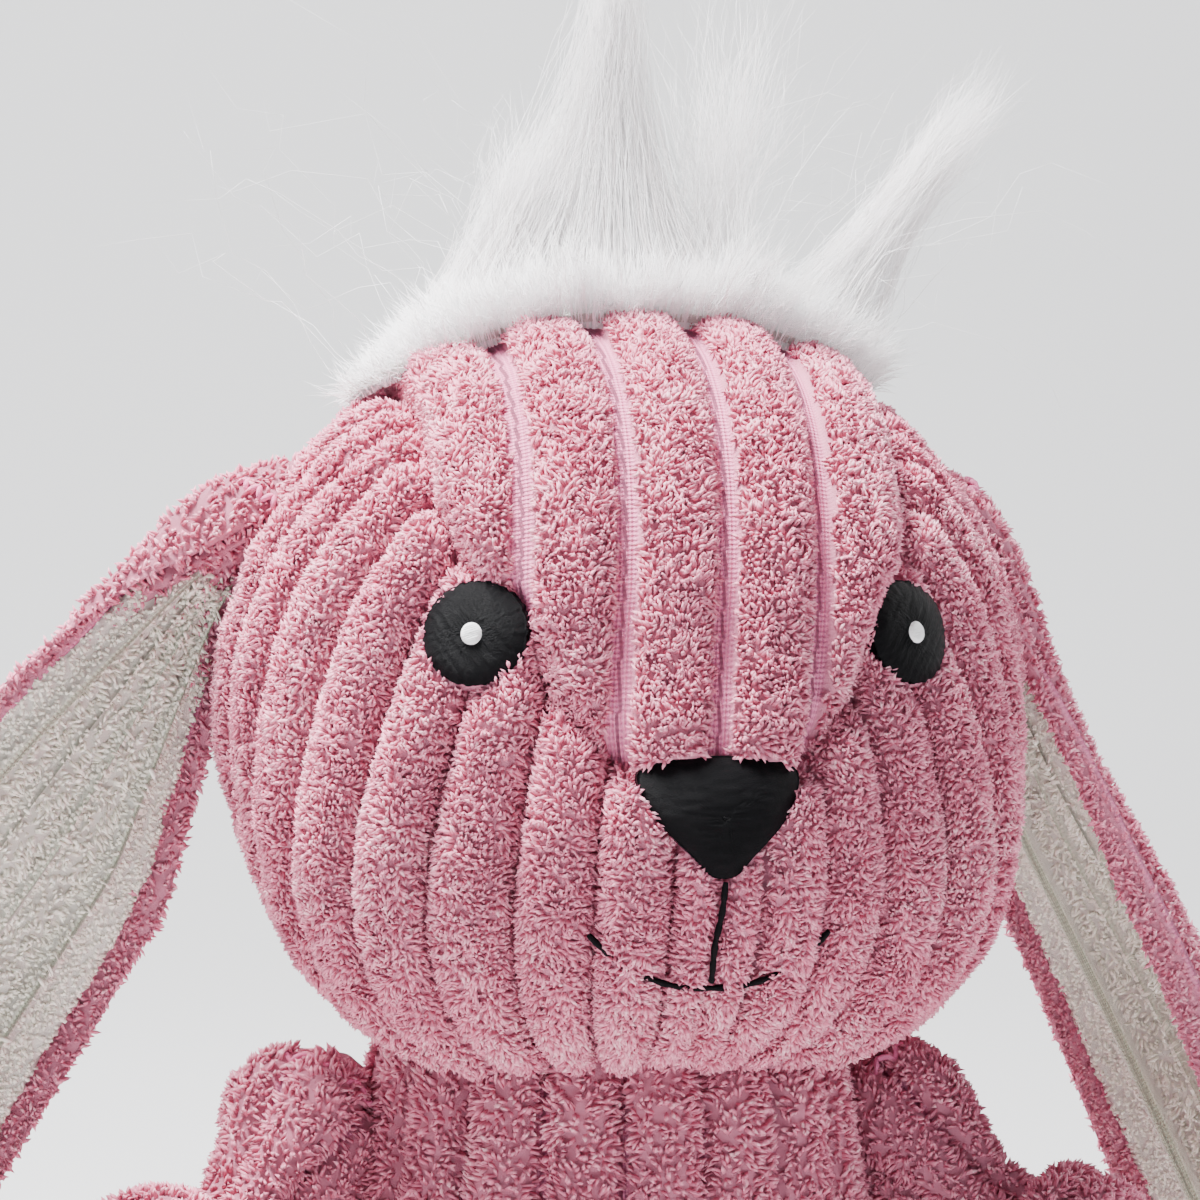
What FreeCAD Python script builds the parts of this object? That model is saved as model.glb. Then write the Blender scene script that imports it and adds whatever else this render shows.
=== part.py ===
"""A seated plush rabbit with a wide-ribbed pink cover, cream-lined floppy ears, knotted limbs,
an embroidered face, a long white fur tuft on the crown and a pompom tail.

Frame: millimetres, +Z up, the face looks along -Y, the rabbit's left side is +X.
The origin is the centre of the flat seat under the torso.
Every stuffed part is a plush cover, a thin inner liner and a fibre filling, one inside the other.
Each limb, each ear and the head end in a round root that turns in a matching hollow of its neighbour.
"""

import FreeCAD, Part
import math
import os
from FreeCAD import Vector

# Cloth thicknesses
PLUSH = 3.2
LINER = 0.8
LAYER_GAP = 0.4
LINER_INSET = PLUSH + LAYER_GAP
FILL_INSET = LINER_INSET + LINER + LAYER_GAP

# Root joints: each ball turns in a hollow this much larger, with a ring of stitching between them
JOINT_GAP = 2.0
STITCH_RADIUS = 0.6
STITCH_ANGLE = 108.0

# Torso: beads are (height, radius) of spheres on one vertical axis
SEAT_BEAD = (40.0, 50.0)
SHOULDER_BEAD = (130.0, 41.0)
NECK_PIVOT = Vector(0, 0, SHOULDER_BEAD[0])
NECK_SEAM_ANGLE = 62.0

# Head
HEAD_CENTRE = Vector(0, -8, 200)
HEAD_BEADS = [(-5.0, 60.0), (5.0, 60.0)]
HEAD_RADIUS = 60.0
CHEEK_RADIUS = 41.0
CHEEK_OFFSET = Vector(20, -15, -19)
MUZZLE_RADIUS = 38.0
MUZZLE_OFFSET = Vector(0, -30, -20)

# Face embroidery: sunk into the cover and standing a little proud of its ground cloth
THREAD_TOP = 0.4
THREAD_BOTTOM = 1.6
EYE_AZIMUTH = 35.0
EYE_HEIGHT = 10.8
EYE_RADIUS = 8.3
GLINT_RADIUS = 1.7
NOSE_TOP = -7.5
NOSE_WIDTH = 24.5
NOSE_DEPTH = 17.8
NOSE_TIP_HALF_WIDTH = 2.6
MOUTH_WIDTH = 36.0
MOUTH_DROP = 15.0
MOUTH_RISE = 7.0
MOUTH_LINE = 1.4

# Ears: beads are (distance from the root, half width) of the flat outline
EAR_ROOT_RADIUS = 9.0
EAR_PIVOT = Vector(58, 0, 231)
EAR_BEADS = [(16.0, 11.0), (66.0, 29.0), (144.0, 35.0)]
EAR_RIGHT_AIM = Vector(-0.57, 0.06, -0.82)
EAR_LEFT_AIM = Vector(0.50, 0.19, -0.85)
EAR_RIGHT_TURN = 62.0
EAR_LEFT_TURN = -4.0
EAR_RIGHT_CUP = 44.0
EAR_LEFT_CUP = 42.0
EAR_BORDER = 6.5
EAR_PLY_CLEARANCE = 0.3  # between the stuffed root and the plies that start beside it
EAR_OUTER = 3.2
EAR_WADDING = 1.2
EAR_LINING = 2.8
EAR_PLY_GAP = 0.3
EAR_HEAD_GAP = 3.4

# Crown tuft of long-pile fur: each lock is (foot across the head, lean to the left in degrees, length)
TUFT_HALF_WIDTH = 42.0
TUFT_HALF_DEPTH = 19.0
TUFT_BACKING = 1.2
TUFT_LOCKS = [(-24.0, -30.0, 44.0), (-9.0, -5.0, 68.0), (10.0, 14.0, 62.0), (25.0, 38.0, 62.0)]
LOCK_RADII = (15.0, 12.0, 5.0)

# Limbs: beads are (distance from the root, radius) of spheres on the limb's axis
ARM_PIVOT = Vector(47.5, 3, 131)
ARM_AIM = Vector(0.62, -0.50, -0.60)
ARM_BEADS = [(0.0, 12.5), (18.0, 9.0), (42.0, 21.5), (67.0, 12.0), (94.0, 17.0)]
LEG_PIVOT = Vector(35, -37, 27)
LEG_AIM = Vector(0.45, -0.89, 0.0)
LEG_BEADS = [(0.0, 17.0), (24.0, 13.0), (62.0, 27.0), (98.0, 15.0), (134.0, 22.0)]

# Squeakers: a blow-moulded bulb with a reed plug in its neck
BULB_RADIUS = 17.0
BULB_WALL = 1.0
NECK_RADIUS = 5.0
NECK_LENGTH = 7.0
REED_RADIUS = 3.6
REED_LENGTH = 5.0
REED_CLEARANCE = 0.05
REED_SLOT_WIDTH = 4.5
REED_SLOT_THICKNESS = 0.8
POCKET_GAP = 0.4

# Tail, and the row of stitches that closes the back
TAIL_RADIUS = 19.0
TAIL_HEIGHT = 46.0
TAIL_BUTTON_RADIUS = 9.0
TAIL_BUTTON_THICKNESS = 2.0
CLOSING_LOW = 78.0
CLOSING_HIGH = 108.0
CLOSING_COUNT = 7
CLOSING_WIDTH = 7.0
CLOSING_THREAD = 1.2

Z_AXIS = Vector(0, 0, 1)
X_AXIS = Vector(1, 0, 0)
ORIGIN = Vector(0, 0, 0)


def placed(shape, origin, along, facing):
    """The shape with its local X turned to along and its local Z turned to facing, then moved to origin."""
    x = Vector(along).normalize()
    z = Vector(facing).normalize()
    y = z.cross(x)
    matrix = FreeCAD.Matrix(
        x.x, y.x, z.x, origin.x,
        x.y, y.y, z.y, origin.y,
        x.z, y.z, z.z, origin.z,
        0, 0, 0, 1,
    )
    moved = shape.copy()
    moved.Placement = FreeCAD.Placement(matrix)
    return moved


def aimed(shape, origin, aim):
    """The shape with its local Z turned to aim, then moved to origin."""
    turn = FreeCAD.Rotation(Z_AXIS, aim)
    moved = shape.copy()
    moved.Placement = FreeCAD.Placement(origin, turn)
    return moved


def mirrored(shape):
    """The shape on the rabbit's other side."""
    return shape.mirror(ORIGIN, X_AXIS)


def bead_half_wire(beads, inset):
    """Half the outline round a row of circles on one axis: arcs joined by tangent lines.

    Each bead is (position, radius); points are (position along the axis, distance from it).
    Where a small bead makes a waist, the two tangent lines meet in a crease.
    """
    beads = [(at, radius - inset) for at, radius in beads]
    angles = [math.pi]
    for (at, radius), (next_at, next_radius) in zip(beads, beads[1:]):
        angles.append(math.acos((radius - next_radius) / (next_at - at)))
    angles.append(0.0)

    def on_bead(index, angle):
        at, radius = beads[index]
        return (at + radius * math.cos(angle), radius * math.sin(angle))

    edges = []
    last = on_bead(0, math.pi)
    for index in range(len(beads)):
        arrive, leave = angles[index], angles[index + 1]
        if leave < arrive:
            start, end = on_bead(index, arrive), on_bead(index, leave)
            middle = on_bead(index, (arrive + leave) / 2)
            if math.dist(last, start) > 1e-6:
                edges.append(("line", last, start))
            edges.append(("arc", start, middle, end))
            last = end
        else:
            # The two tangent lines, each at the bead's radius from its centre, cross at the half angle
            at, radius = beads[index]
            half = (arrive + leave) / 2
            reach = radius / math.cos((leave - arrive) / 2)
            corner = (at + reach * math.cos(half), reach * math.sin(half))
            edges.append(("line", last, corner))
            last = corner
    return edges


def bead_solid(beads, inset=0.0):
    """The solid of revolution about local Z round a row of spheres, every radius less by inset."""
    made = []
    for kind, *points in bead_half_wire(beads, inset):
        corners = [Vector(distance, 0, at) for at, distance in points]
        if kind == "line":
            made.append(Part.LineSegment(*corners).toShape())
        else:
            made.append(Part.Arc(*corners).toShape())
    first = beads[0][0] - (beads[0][1] - inset)
    last = beads[-1][0] + (beads[-1][1] - inset)
    made.append(Part.LineSegment(Vector(0, 0, last), Vector(0, 0, first)).toShape())
    face = Part.Face(Part.Wire(made))
    return face.revolve(ORIGIN, Z_AXIS, 360)


def bead_prism(beads, inset, low, high):
    """The flat outline round a row of circles along local X, extruded in Z from low to high."""
    upper, lower = [], []
    for kind, *points in bead_half_wire(beads, inset):
        for side, out in ((1, upper), (-1, lower)):
            corners = [Vector(at, side * distance, low) for at, distance in points]
            if kind == "line":
                out.append(Part.LineSegment(*corners).toShape())
            else:
                out.append(Part.Arc(*corners).toShape())
    face = Part.Face(Part.Wire(Part.__sortEdges__(upper + lower)))
    return face.extrude(Vector(0, 0, high - low))


def ball(centre, radius):
    return Part.makeSphere(radius, centre)


def ring(radius, angle=STITCH_ANGLE):
    """A ring of stitching on the sphere of this radius round the local origin, at this angle from local Z."""
    turn = math.radians(angle)
    return Part.makeTorus(radius * math.sin(turn), STITCH_RADIUS, Vector(0, 0, radius * math.cos(turn)))


def nested(shape_at, cut=None):
    """The cover, liner and filling of one stuffed part. shape_at(inset) is its shape at that depth."""
    cover = shape_at(0.0).cut(shape_at(PLUSH))
    liner = shape_at(LINER_INSET).cut(shape_at(LINER_INSET + LINER))
    filling = shape_at(FILL_INSET)
    layers = [cover, liner, filling]
    if cut is not None:
        layers = [layer.cut(cut) for layer in layers]
    return layers


# ---------------------------------------------------------------- squeakers


def squeaker(centre, aim):
    """(bulb, reed, pocket): the pocket is the room they need in the filling."""
    neck_base = math.sqrt(BULB_RADIUS**2 - NECK_RADIUS**2)
    top = neck_base + NECK_LENGTH
    outer = ball(ORIGIN, BULB_RADIUS).fuse(Part.makeCylinder(NECK_RADIUS, top))
    hollow = ball(ORIGIN, BULB_RADIUS - BULB_WALL).fuse(Part.makeCylinder(REED_RADIUS, top))
    bulb = outer.cut(hollow)
    reed_base = top - REED_LENGTH
    reed = Part.makeCylinder(REED_RADIUS - REED_CLEARANCE, REED_LENGTH, Vector(0, 0, reed_base))
    slot_corner = Vector(-REED_SLOT_WIDTH / 2, -REED_SLOT_THICKNESS / 2, reed_base)
    slot = Part.makeBox(REED_SLOT_WIDTH, REED_SLOT_THICKNESS, REED_LENGTH, slot_corner)
    reed = reed.cut(slot)
    pocket = ball(ORIGIN, BULB_RADIUS + POCKET_GAP)
    pocket = pocket.fuse(Part.makeCylinder(NECK_RADIUS + POCKET_GAP, top + POCKET_GAP))
    return [aimed(shape, centre, aim) for shape in (bulb, reed, pocket)]


# ---------------------------------------------------------------- head


def head_shape(inset):
    """The stuffed head: a wide round skull with two cheeks and a muzzle, every surface drawn in by inset."""
    skull = aimed(bead_solid(HEAD_BEADS, inset), HEAD_CENTRE, X_AXIS)
    bulges = [ball(HEAD_CENTRE + MUZZLE_OFFSET, MUZZLE_RADIUS - inset)]
    for side in (1, -1):
        offset = Vector(side * CHEEK_OFFSET.x, CHEEK_OFFSET.y, CHEEK_OFFSET.z)
        bulges.append(ball(HEAD_CENTRE + offset, CHEEK_RADIUS - inset))
    return skull.fuse(bulges)


def eye_prism(radius, side):
    """A round cutter that meets the face square on at one eye."""
    turn = math.radians(EYE_AZIMUTH)
    out = Vector(side * math.sin(turn), -math.cos(turn), 0)
    start = HEAD_CENTRE + Vector(0, 0, EYE_HEIGHT) + out * 25
    cutter = Part.makeCylinder(radius, 60)
    return aimed(cutter, start, out)


def front_prism(points_and_arcs):
    """Extrudes a closed outline in the XZ plane through the front of the face."""
    edges = []
    for kind, *points in points_and_arcs:
        corners = [Vector(x, -120, HEAD_CENTRE.z + z) for x, z in points]
        if kind == "line":
            edges.append(Part.LineSegment(*corners).toShape())
        else:
            edges.append(Part.Arc(*corners).toShape())
    return Part.Face(Part.Wire(edges)).extrude(Vector(0, 80, 0))


def nose_prism():
    """A triangle with a bowed top, bowed sides and a rounded lower corner."""
    half, top, low = NOSE_WIDTH / 2, NOSE_TOP, NOSE_TOP - NOSE_DEPTH
    tip = NOSE_TIP_HALF_WIDTH
    return front_prism([
        ("arc", (-half, top - 2), (0, top), (half, top - 2)),
        ("arc", (half, top - 2), (half * 0.72, top - 10), (tip, low + 1.2)),
        ("arc", (tip, low + 1.2), (0, low), (-tip, low + 1.2)),
        ("arc", (-tip, low + 1.2), (-half * 0.72, top - 10), (-half, top - 2)),
    ])


def mouth_prisms():
    """The stitched line below the nose and the smile at its foot."""
    half_line = MOUTH_LINE / 2
    top = NOSE_TOP - NOSE_DEPTH - 0.5
    low = top - MOUTH_DROP
    corner = MOUTH_WIDTH / 2
    rise = MOUTH_RISE
    line = front_prism([
        ("line", (-half_line, top), (half_line, top)),
        ("line", (half_line, top), (half_line, low + 1.5)),
        ("line", (half_line, low + 1.5), (-half_line, low + 1.5)),
        ("line", (-half_line, low + 1.5), (-half_line, top)),
    ])
    smile = front_prism([
        ("arc", (-corner, low + rise), (0, low), (corner, low + rise)),
        ("line", (corner, low + rise), (corner, low + rise - MOUTH_LINE)),
        ("arc", (corner, low + rise - MOUTH_LINE), (0, low - MOUTH_LINE), (-corner, low + rise - MOUTH_LINE)),
        ("line", (-corner, low + rise - MOUTH_LINE), (-corner, low + rise)),
    ])
    return [line, smile]


def head_nodes():
    neck_hollow = ball(NECK_PIVOT, SHOULDER_BEAD[1] + JOINT_GAP)
    hollows = [neck_hollow]
    for side in (1, -1):
        pivot = Vector(side * EAR_PIVOT.x, EAR_PIVOT.y, EAR_PIVOT.z)
        hollows.append(ball(pivot, EAR_ROOT_RADIUS + JOINT_GAP))
    cut = hollows[0].fuse(hollows[1:])
    cover, liner, filling = nested(head_shape, cut)

    # Embroidery fills pockets sunk into the cover
    thread_bed = head_shape(THREAD_TOP).cut(head_shape(THREAD_BOTTOM))
    sunk = head_shape(-1.0).cut(head_shape(THREAD_BOTTOM))
    nodes = {}
    for side, name in ((1, "left"), (-1, "right")):
        glint = eye_prism(GLINT_RADIUS, side)
        nodes[f"eye_{name}_glint"] = thread_bed.common(glint)
        nodes[f"eye_{name}"] = thread_bed.common(eye_prism(EYE_RADIUS, side).cut(glint))
        cover = cover.cut(sunk.common(eye_prism(EYE_RADIUS, side)))
    nodes["nose_patch"] = thread_bed.common(nose_prism())
    cover = cover.cut(sunk.common(nose_prism()))
    mouth = mouth_prisms()
    mouth = mouth[0].fuse(mouth[1])
    nodes["mouth_stitching"] = thread_bed.common(mouth)
    cover = cover.cut(sunk.common(mouth))

    bulb, reed, pocket = squeaker(HEAD_CENTRE + Vector(0, -4, 12), Vector(0, 0.2, 1))
    nodes.update(tuft_nodes())
    nodes["head_cover"] = cover
    nodes["head_liner"] = liner
    nodes["head_filling"] = filling.cut(pocket)
    nodes["head_squeaker_bulb"] = bulb
    nodes["head_squeaker_reed"] = reed
    return nodes


def tuft_nodes():
    """The fur strip on the crown: a woven backing on the cover, and the locks of pile standing on it."""
    crown = HEAD_CENTRE + Vector(0, 6, 0)
    stretch = TUFT_HALF_WIDTH - TUFT_HALF_DEPTH
    column = bead_prism([(-stretch, TUFT_HALF_DEPTH), (stretch, TUFT_HALF_DEPTH)], 0.0, 0.0, 100.0)
    column.translate(crown)
    backing = head_shape(-TUFT_BACKING - 0.2).cut(head_shape(-0.2)).common(column)

    locks = []
    wide, middle, tip = LOCK_RADII
    for foot, lean, length in TUFT_LOCKS:
        height = math.sqrt(HEAD_RADIUS**2 - foot**2) - 8
        lock = bead_solid([(0.0, wide), (length * 0.45, middle), (length - tip + 8, tip)])
        turn = math.radians(lean)
        locks.append(aimed(lock, crown + Vector(foot, 0, height), Vector(math.sin(turn), 0, math.cos(turn))))
    pile = locks[0].fuse(locks[1:]).cut(head_shape(-TUFT_BACKING - 0.4))
    return {"tuft_backing": backing, "tuft_fur": pile}


# ---------------------------------------------------------------- ears


def ear_ply(cup_radius, near, far, beads, inset, foot=0.0):
    """One ply of an ear: the cup between two radii round its lengthwise axis, trimmed to the outline."""
    length = beads[-1][0] + beads[-1][1] + 5
    cup_axis = Vector(-20, 0, cup_radius)
    wall = Part.makeCylinder(cup_radius + far, length + 25, cup_axis, X_AXIS)
    wall = wall.cut(Part.makeCylinder(cup_radius + near, length + 25, cup_axis, X_AXIS))
    outline = bead_prism(beads, inset, -12, cup_radius)
    ply = wall.common(outline)
    if foot:
        ply = ply.cut(ball(ORIGIN, foot))
    return ply


def ear_nodes(name, pivot, aim, lining_side, cup_radius, width_share):
    """Outer plush with its stuffed root, wadding and cream lining, in the ear's own frame, then placed."""
    beads = [(at, radius * width_share) for at, radius in EAR_BEADS]
    outer = ear_ply(cup_radius, 0.0, EAR_OUTER, beads, 0.0)
    wadding_far = -EAR_PLY_GAP
    ply_root = EAR_ROOT_RADIUS + EAR_PLY_CLEARANCE
    wadding = ear_ply(cup_radius, wadding_far - EAR_WADDING, wadding_far, beads, EAR_BORDER / 2, ply_root)
    lining_far = wadding_far - EAR_WADDING - EAR_PLY_GAP
    lining = ear_ply(cup_radius, lining_far - EAR_LINING, lining_far, beads, EAR_BORDER * 0.8, ply_root)
    plies = {"outer": outer, "wadding": wadding, "lining": lining}
    clear_of_head = head_shape(-EAR_HEAD_GAP)
    nodes = {}
    for ply, shape in plies.items():
        nodes[f"{name}_{ply}"] = placed(shape, pivot, aim, lining_side).cut(clear_of_head)
    nodes[f"{name}_outer"] = nodes[f"{name}_outer"].fuse(ball(pivot, EAR_ROOT_RADIUS))
    nodes[f"{name}_root_stitching"] = aimed(ring(EAR_ROOT_RADIUS + JOINT_GAP / 2), pivot, aim)
    return nodes


def facing_side(aim, side, turn):
    """The way an ear's lining looks: in towards the head, turned by this much to the front."""
    inward = Vector(-side, 0, 0)
    front = Vector(0, -1, 0)
    angle = math.radians(turn)
    facing = inward * math.cos(angle) + front * math.sin(angle)
    return facing - aim * facing.dot(aim)


def both_ears():
    """The ears hang differently: the right one shows its lining to the front, the left one is turned in."""
    ears = [
        ("ear_right", -1, EAR_RIGHT_AIM, EAR_RIGHT_TURN, EAR_RIGHT_CUP, 1.0),
        ("ear_left", 1, EAR_LEFT_AIM, EAR_LEFT_TURN, EAR_LEFT_CUP, 0.9),
    ]
    nodes = {}
    for name, side, aim, turn, cup_radius, width_share in ears:
        pivot = Vector(side * EAR_PIVOT.x, EAR_PIVOT.y, EAR_PIVOT.z)
        aim = Vector(aim).normalize()
        nodes.update(ear_nodes(name, pivot, aim, facing_side(aim, side, turn), cup_radius, width_share))
    return nodes


# ---------------------------------------------------------------- limbs and torso


def limb_nodes(name, pivot, aim, beads):
    """A stuffed, knotted tube with a round root, and the ring of stitching that holds it."""
    cover, liner, filling = nested(lambda inset: bead_solid(beads, inset))
    parts = {"cover": cover, "liner": liner, "filling": filling}
    parts["stitching"] = ring(beads[0][1] + JOINT_GAP / 2)
    nodes = {}
    for side, word in ((1, "left"), (-1, "right")):
        for part, shape in parts.items():
            made = aimed(shape, pivot, aim)
            nodes[f"{name}_{word}_{part}"] = made if side == 1 else mirrored(made)
    return nodes


def torso_shape(inset):
    """The stuffed torso, flattened where it sits."""
    body = bead_solid([SEAT_BEAD, SHOULDER_BEAD], inset)
    floor = Part.makeBox(200, 200, 100, Vector(-100, -100, -100 + inset))
    return body.cut(floor)


def torso_nodes():
    hollows = []
    for pivot, beads in ((ARM_PIVOT, ARM_BEADS), (LEG_PIVOT, LEG_BEADS)):
        for side in (1, -1):
            centre = Vector(side * pivot.x, pivot.y, pivot.z)
            hollows.append(ball(centre, beads[0][1] + JOINT_GAP))
    cut = hollows[0].fuse(hollows[1:])
    cover, liner, filling = nested(torso_shape, cut)
    bulb, reed, pocket = squeaker(Vector(0, 2, 76), Vector(0, 0, 1))
    nodes = {
        "torso_cover": cover,
        "torso_liner": liner,
        "torso_filling": filling.cut(pocket),
        "torso_squeaker_bulb": bulb,
        "torso_squeaker_reed": reed,
        "neck_stitching": neck_ring(),
    }
    nodes.update(tail_nodes())
    nodes["back_closing_stitches"] = closing_stitches()
    return nodes


def neck_ring():
    """The stitching between head and shoulders, in the gap between their two round faces."""
    made = ring(SHOULDER_BEAD[1] + JOINT_GAP / 2, NECK_SEAM_ANGLE)
    made.translate(NECK_PIVOT)
    return made


def tail_nodes():
    """A pompom on a small sewn-on fabric button."""
    torso = torso_shape(-0.3)
    reach = SEAT_BEAD[1] + 1.2 * TAIL_RADIUS - 5
    pompom = ball(Vector(0, reach, TAIL_HEIGHT), TAIL_RADIUS)
    button = Part.makeCylinder(TAIL_BUTTON_RADIUS, 40, Vector(0, 30, TAIL_HEIGHT), Vector(0, 1, 0))
    button = button.common(torso_shape(-TAIL_BUTTON_THICKNESS)).cut(torso)
    pompom = pompom.cut(torso_shape(-TAIL_BUTTON_THICKNESS - 0.3))
    return {"tail_pompom": pompom, "tail_button": button}


def closing_stitches():
    """The hand stitches that close the back after stuffing, each one a short loop of thread."""
    stitches = []
    for index in range(CLOSING_COUNT):
        z = CLOSING_LOW + (CLOSING_HIGH - CLOSING_LOW) * index / (CLOSING_COUNT - 1)
        slab = Part.makeBox(CLOSING_WIDTH, 30, CLOSING_THREAD, Vector(-CLOSING_WIDTH / 2, 30, z))
        stitches.append(torso_shape(-0.8).cut(torso_shape(-0.1)).common(slab))
    return Part.makeCompound(stitches)


def main():
    os.makedirs("parts", exist_ok=True)
    nodes = {}
    nodes.update(torso_nodes())
    nodes.update(head_nodes())
    nodes.update(both_ears())
    nodes.update(limb_nodes("arm", ARM_PIVOT, ARM_AIM, ARM_BEADS))
    nodes.update(limb_nodes("leg", LEG_PIVOT, LEG_AIM, LEG_BEADS))
    for name, shape in nodes.items():
        shape.exportStep(f"parts/{name}.step")
        solids = shape.Solids
        size = shape.BoundBox
        print(
            f"{name}: {len(solids)} solids, valid {all(s.isValid() for s in solids)},"
            f" volume {shape.Volume:.0f},"
            f" z {size.ZMin:.1f} to {size.ZMax:.1f}"
        )


if __name__ == "__main__":
    main()
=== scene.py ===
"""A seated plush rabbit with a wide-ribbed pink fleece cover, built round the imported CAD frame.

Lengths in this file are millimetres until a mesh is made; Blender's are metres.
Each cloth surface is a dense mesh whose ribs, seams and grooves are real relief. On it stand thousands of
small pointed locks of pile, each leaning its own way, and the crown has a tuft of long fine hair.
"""

import math

import bpy
import numpy as np
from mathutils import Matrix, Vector


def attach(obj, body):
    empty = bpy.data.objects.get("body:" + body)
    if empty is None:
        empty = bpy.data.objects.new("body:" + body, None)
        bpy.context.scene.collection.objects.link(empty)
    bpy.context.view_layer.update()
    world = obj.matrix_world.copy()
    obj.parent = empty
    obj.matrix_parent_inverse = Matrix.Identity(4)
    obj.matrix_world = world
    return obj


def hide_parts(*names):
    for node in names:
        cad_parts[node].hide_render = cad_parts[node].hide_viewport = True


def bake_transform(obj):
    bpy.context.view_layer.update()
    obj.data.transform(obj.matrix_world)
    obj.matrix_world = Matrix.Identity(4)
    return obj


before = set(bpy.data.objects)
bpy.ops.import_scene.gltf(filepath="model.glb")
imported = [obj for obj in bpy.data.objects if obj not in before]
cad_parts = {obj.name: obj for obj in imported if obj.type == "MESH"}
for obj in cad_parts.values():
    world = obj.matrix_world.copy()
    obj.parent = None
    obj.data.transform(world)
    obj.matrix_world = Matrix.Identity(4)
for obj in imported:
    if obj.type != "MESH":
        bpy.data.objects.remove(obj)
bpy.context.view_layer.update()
rng = np.random.default_rng(11)

MM = 0.001

# ------------------------------------------------------------------ sizes, as in the CAD, in millimetres

HEAD = np.array([0.0, -8.0, 200.0])
SKULL_HALF_LENGTH = 5.0
SKULL_RADIUS = 60.0
HEAD_BULGES = (((20, -15, -19), 41.0), ((-20, -15, -19), 41.0), ((0, -30, -20), 38.0))
EYE_AZIMUTH = math.radians(35)
EYE_HEIGHT = 10.8
EYE_RADIUS = 8.4
EYE_OVAL = np.array([8.2, 7.8])
GLINT_RADIUS = 1.7
NOSE_TOP = -7.5
NOSE_HEIGHT = 17.8
NOSE_HALF_WIDTH = 12.4
SEAT_BEAD = (40.0, 50.0)
SHOULDER_BEAD = (130.0, 41.0)
EAR_PIVOT = np.array([58.0, 0.0, 231.0])
ARM_PIVOT = np.array([47.5, 3.0, 131.0])
ARM_AIM = np.array([0.62, -0.50, -0.60])
ARM_BEADS = ((0.0, 12.5), (18.0, 9.0), (42.0, 21.5), (67.0, 12.0), (94.0, 17.0))
LEG_PIVOT = np.array([35.0, -37.0, 27.0])
LEG_AIM = np.array([0.45, -0.89, 0.0])
LEG_BEADS = ((0.0, 17.0), (24.0, 13.0), (62.0, 27.0), (98.0, 15.0), (134.0, 22.0))
TAIL_CENTRE = np.array([0.0, 67.8, 46.0])
TAIL_RADIUS = 19.0

# Cloth: rib pitch, how far below the CAD surface a rib's ground lies, and what a limb's root gains
RIB_PITCH = 15.0
GROUND_INSET = 1.6
ROOT_BULK = 3.0
STITCH_ANGLE = math.radians(108)
NECK_SEAM_ANGLE = math.radians(62)
EAR_ROOT_RING = 10.0
EAR_TAIL = 22.0
EAR_ROOT_CUP = 15.0
EAR_PULL = np.array([-7.5, -1.7, -12.0])
NUB_LENGTH = 1.30
NUB_WIDTH = 0.47
OPEN_GROOVE = 0.75
CLOSED_GROOVE = 0.90


def unit(v):
    """Unit vectors along the last axis."""
    v = np.asarray(v, float)
    return v / np.maximum(np.linalg.norm(v, axis=-1, keepdims=True), 1e-9)


def smoothstep(low, high, x):
    t = np.clip((x - low) / (high - low), 0, 1)
    return t * t * (3 - 2 * t)


# ------------------------------------------------------------------ noise


def lattice_hash(cell, seed):
    """A number from 0 to 1 for each integer cell."""
    mixed = cell[..., 0] * 73856093 ^ cell[..., 1] * 19349663 ^ cell[..., 2] * 83492791 ^ (seed * 2654435761)
    mixed = (mixed ^ (mixed >> 13)) * 1274126177
    mixed = mixed ^ (mixed >> 16)
    return (mixed & 0xFFFFFF) / float(0xFFFFFF)


def soft_noise(points, size, seed):
    """Smooth value noise from -1 to 1 whose features are about size across."""
    scaled = points / size
    cell = np.floor(scaled).astype(np.int64)
    part = scaled - cell
    part = part * part * (3 - 2 * part)
    total = np.zeros(points.shape[:-1])
    for dx in (0, 1):
        for dy in (0, 1):
            for dz in (0, 1):
                corner = lattice_hash(cell + np.array([dx, dy, dz]), seed)
                share = np.ones(points.shape[:-1])
                for axis, step in enumerate((dx, dy, dz)):
                    share = share * (part[..., axis] if step else 1 - part[..., axis])
                total += share * corner
    return 2 * total - 1


def nearest_clump(points, size, seed):
    """The nearest clump centre to each point, and that clump's own random number."""
    scaled = points / size
    cell = np.floor(scaled - 0.5).astype(np.int64)
    best = np.full(len(points), 1e9)
    centre = np.zeros_like(points)
    number = np.zeros(len(points))
    for dx in (0, 1):
        for dy in (0, 1):
            for dz in (0, 1):
                here = cell + np.array([dx, dy, dz])
                jitter = np.stack([lattice_hash(here, seed + k) for k in range(3)], axis=-1)
                spot = here + 0.15 + 0.7 * jitter
                gap = np.sum((spot - scaled) ** 2, axis=-1)
                closer = gap < best
                best[closer] = gap[closer]
                centre[closer] = spot[closer] * size
                number[closer] = jitter[closer, 0]
    return centre, number


# ------------------------------------------------------------------ meshes


def grid_triangles(rows, columns, closed=True):
    """Triangles of a rows by columns sheet of points, closed round its columns."""
    steps = columns if closed else columns - 1
    row, column = np.meshgrid(np.arange(rows - 1), np.arange(steps), indexing="ij")
    after = (column + 1) % columns
    a, b = row * columns + column, row * columns + after
    c, d = (row + 1) * columns + after, (row + 1) * columns + column
    return np.concatenate([np.stack([a, b, c], -1).reshape(-1, 3), np.stack([a, c, d], -1).reshape(-1, 3)])


def capped_triangles(rows, columns):
    """As grid_triangles, with one more point at each end: the first and the last point of all."""
    body = grid_triangles(rows, columns) + 1
    column = np.arange(columns)
    after = (column + 1) % columns
    first = np.stack([np.zeros_like(column), after + 1, column + 1], -1)
    start = 1 + (rows - 1) * columns
    last = np.stack([np.full_like(column, 1 + rows * columns), start + column, start + after], -1)
    return np.concatenate([first, body, last])


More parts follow.
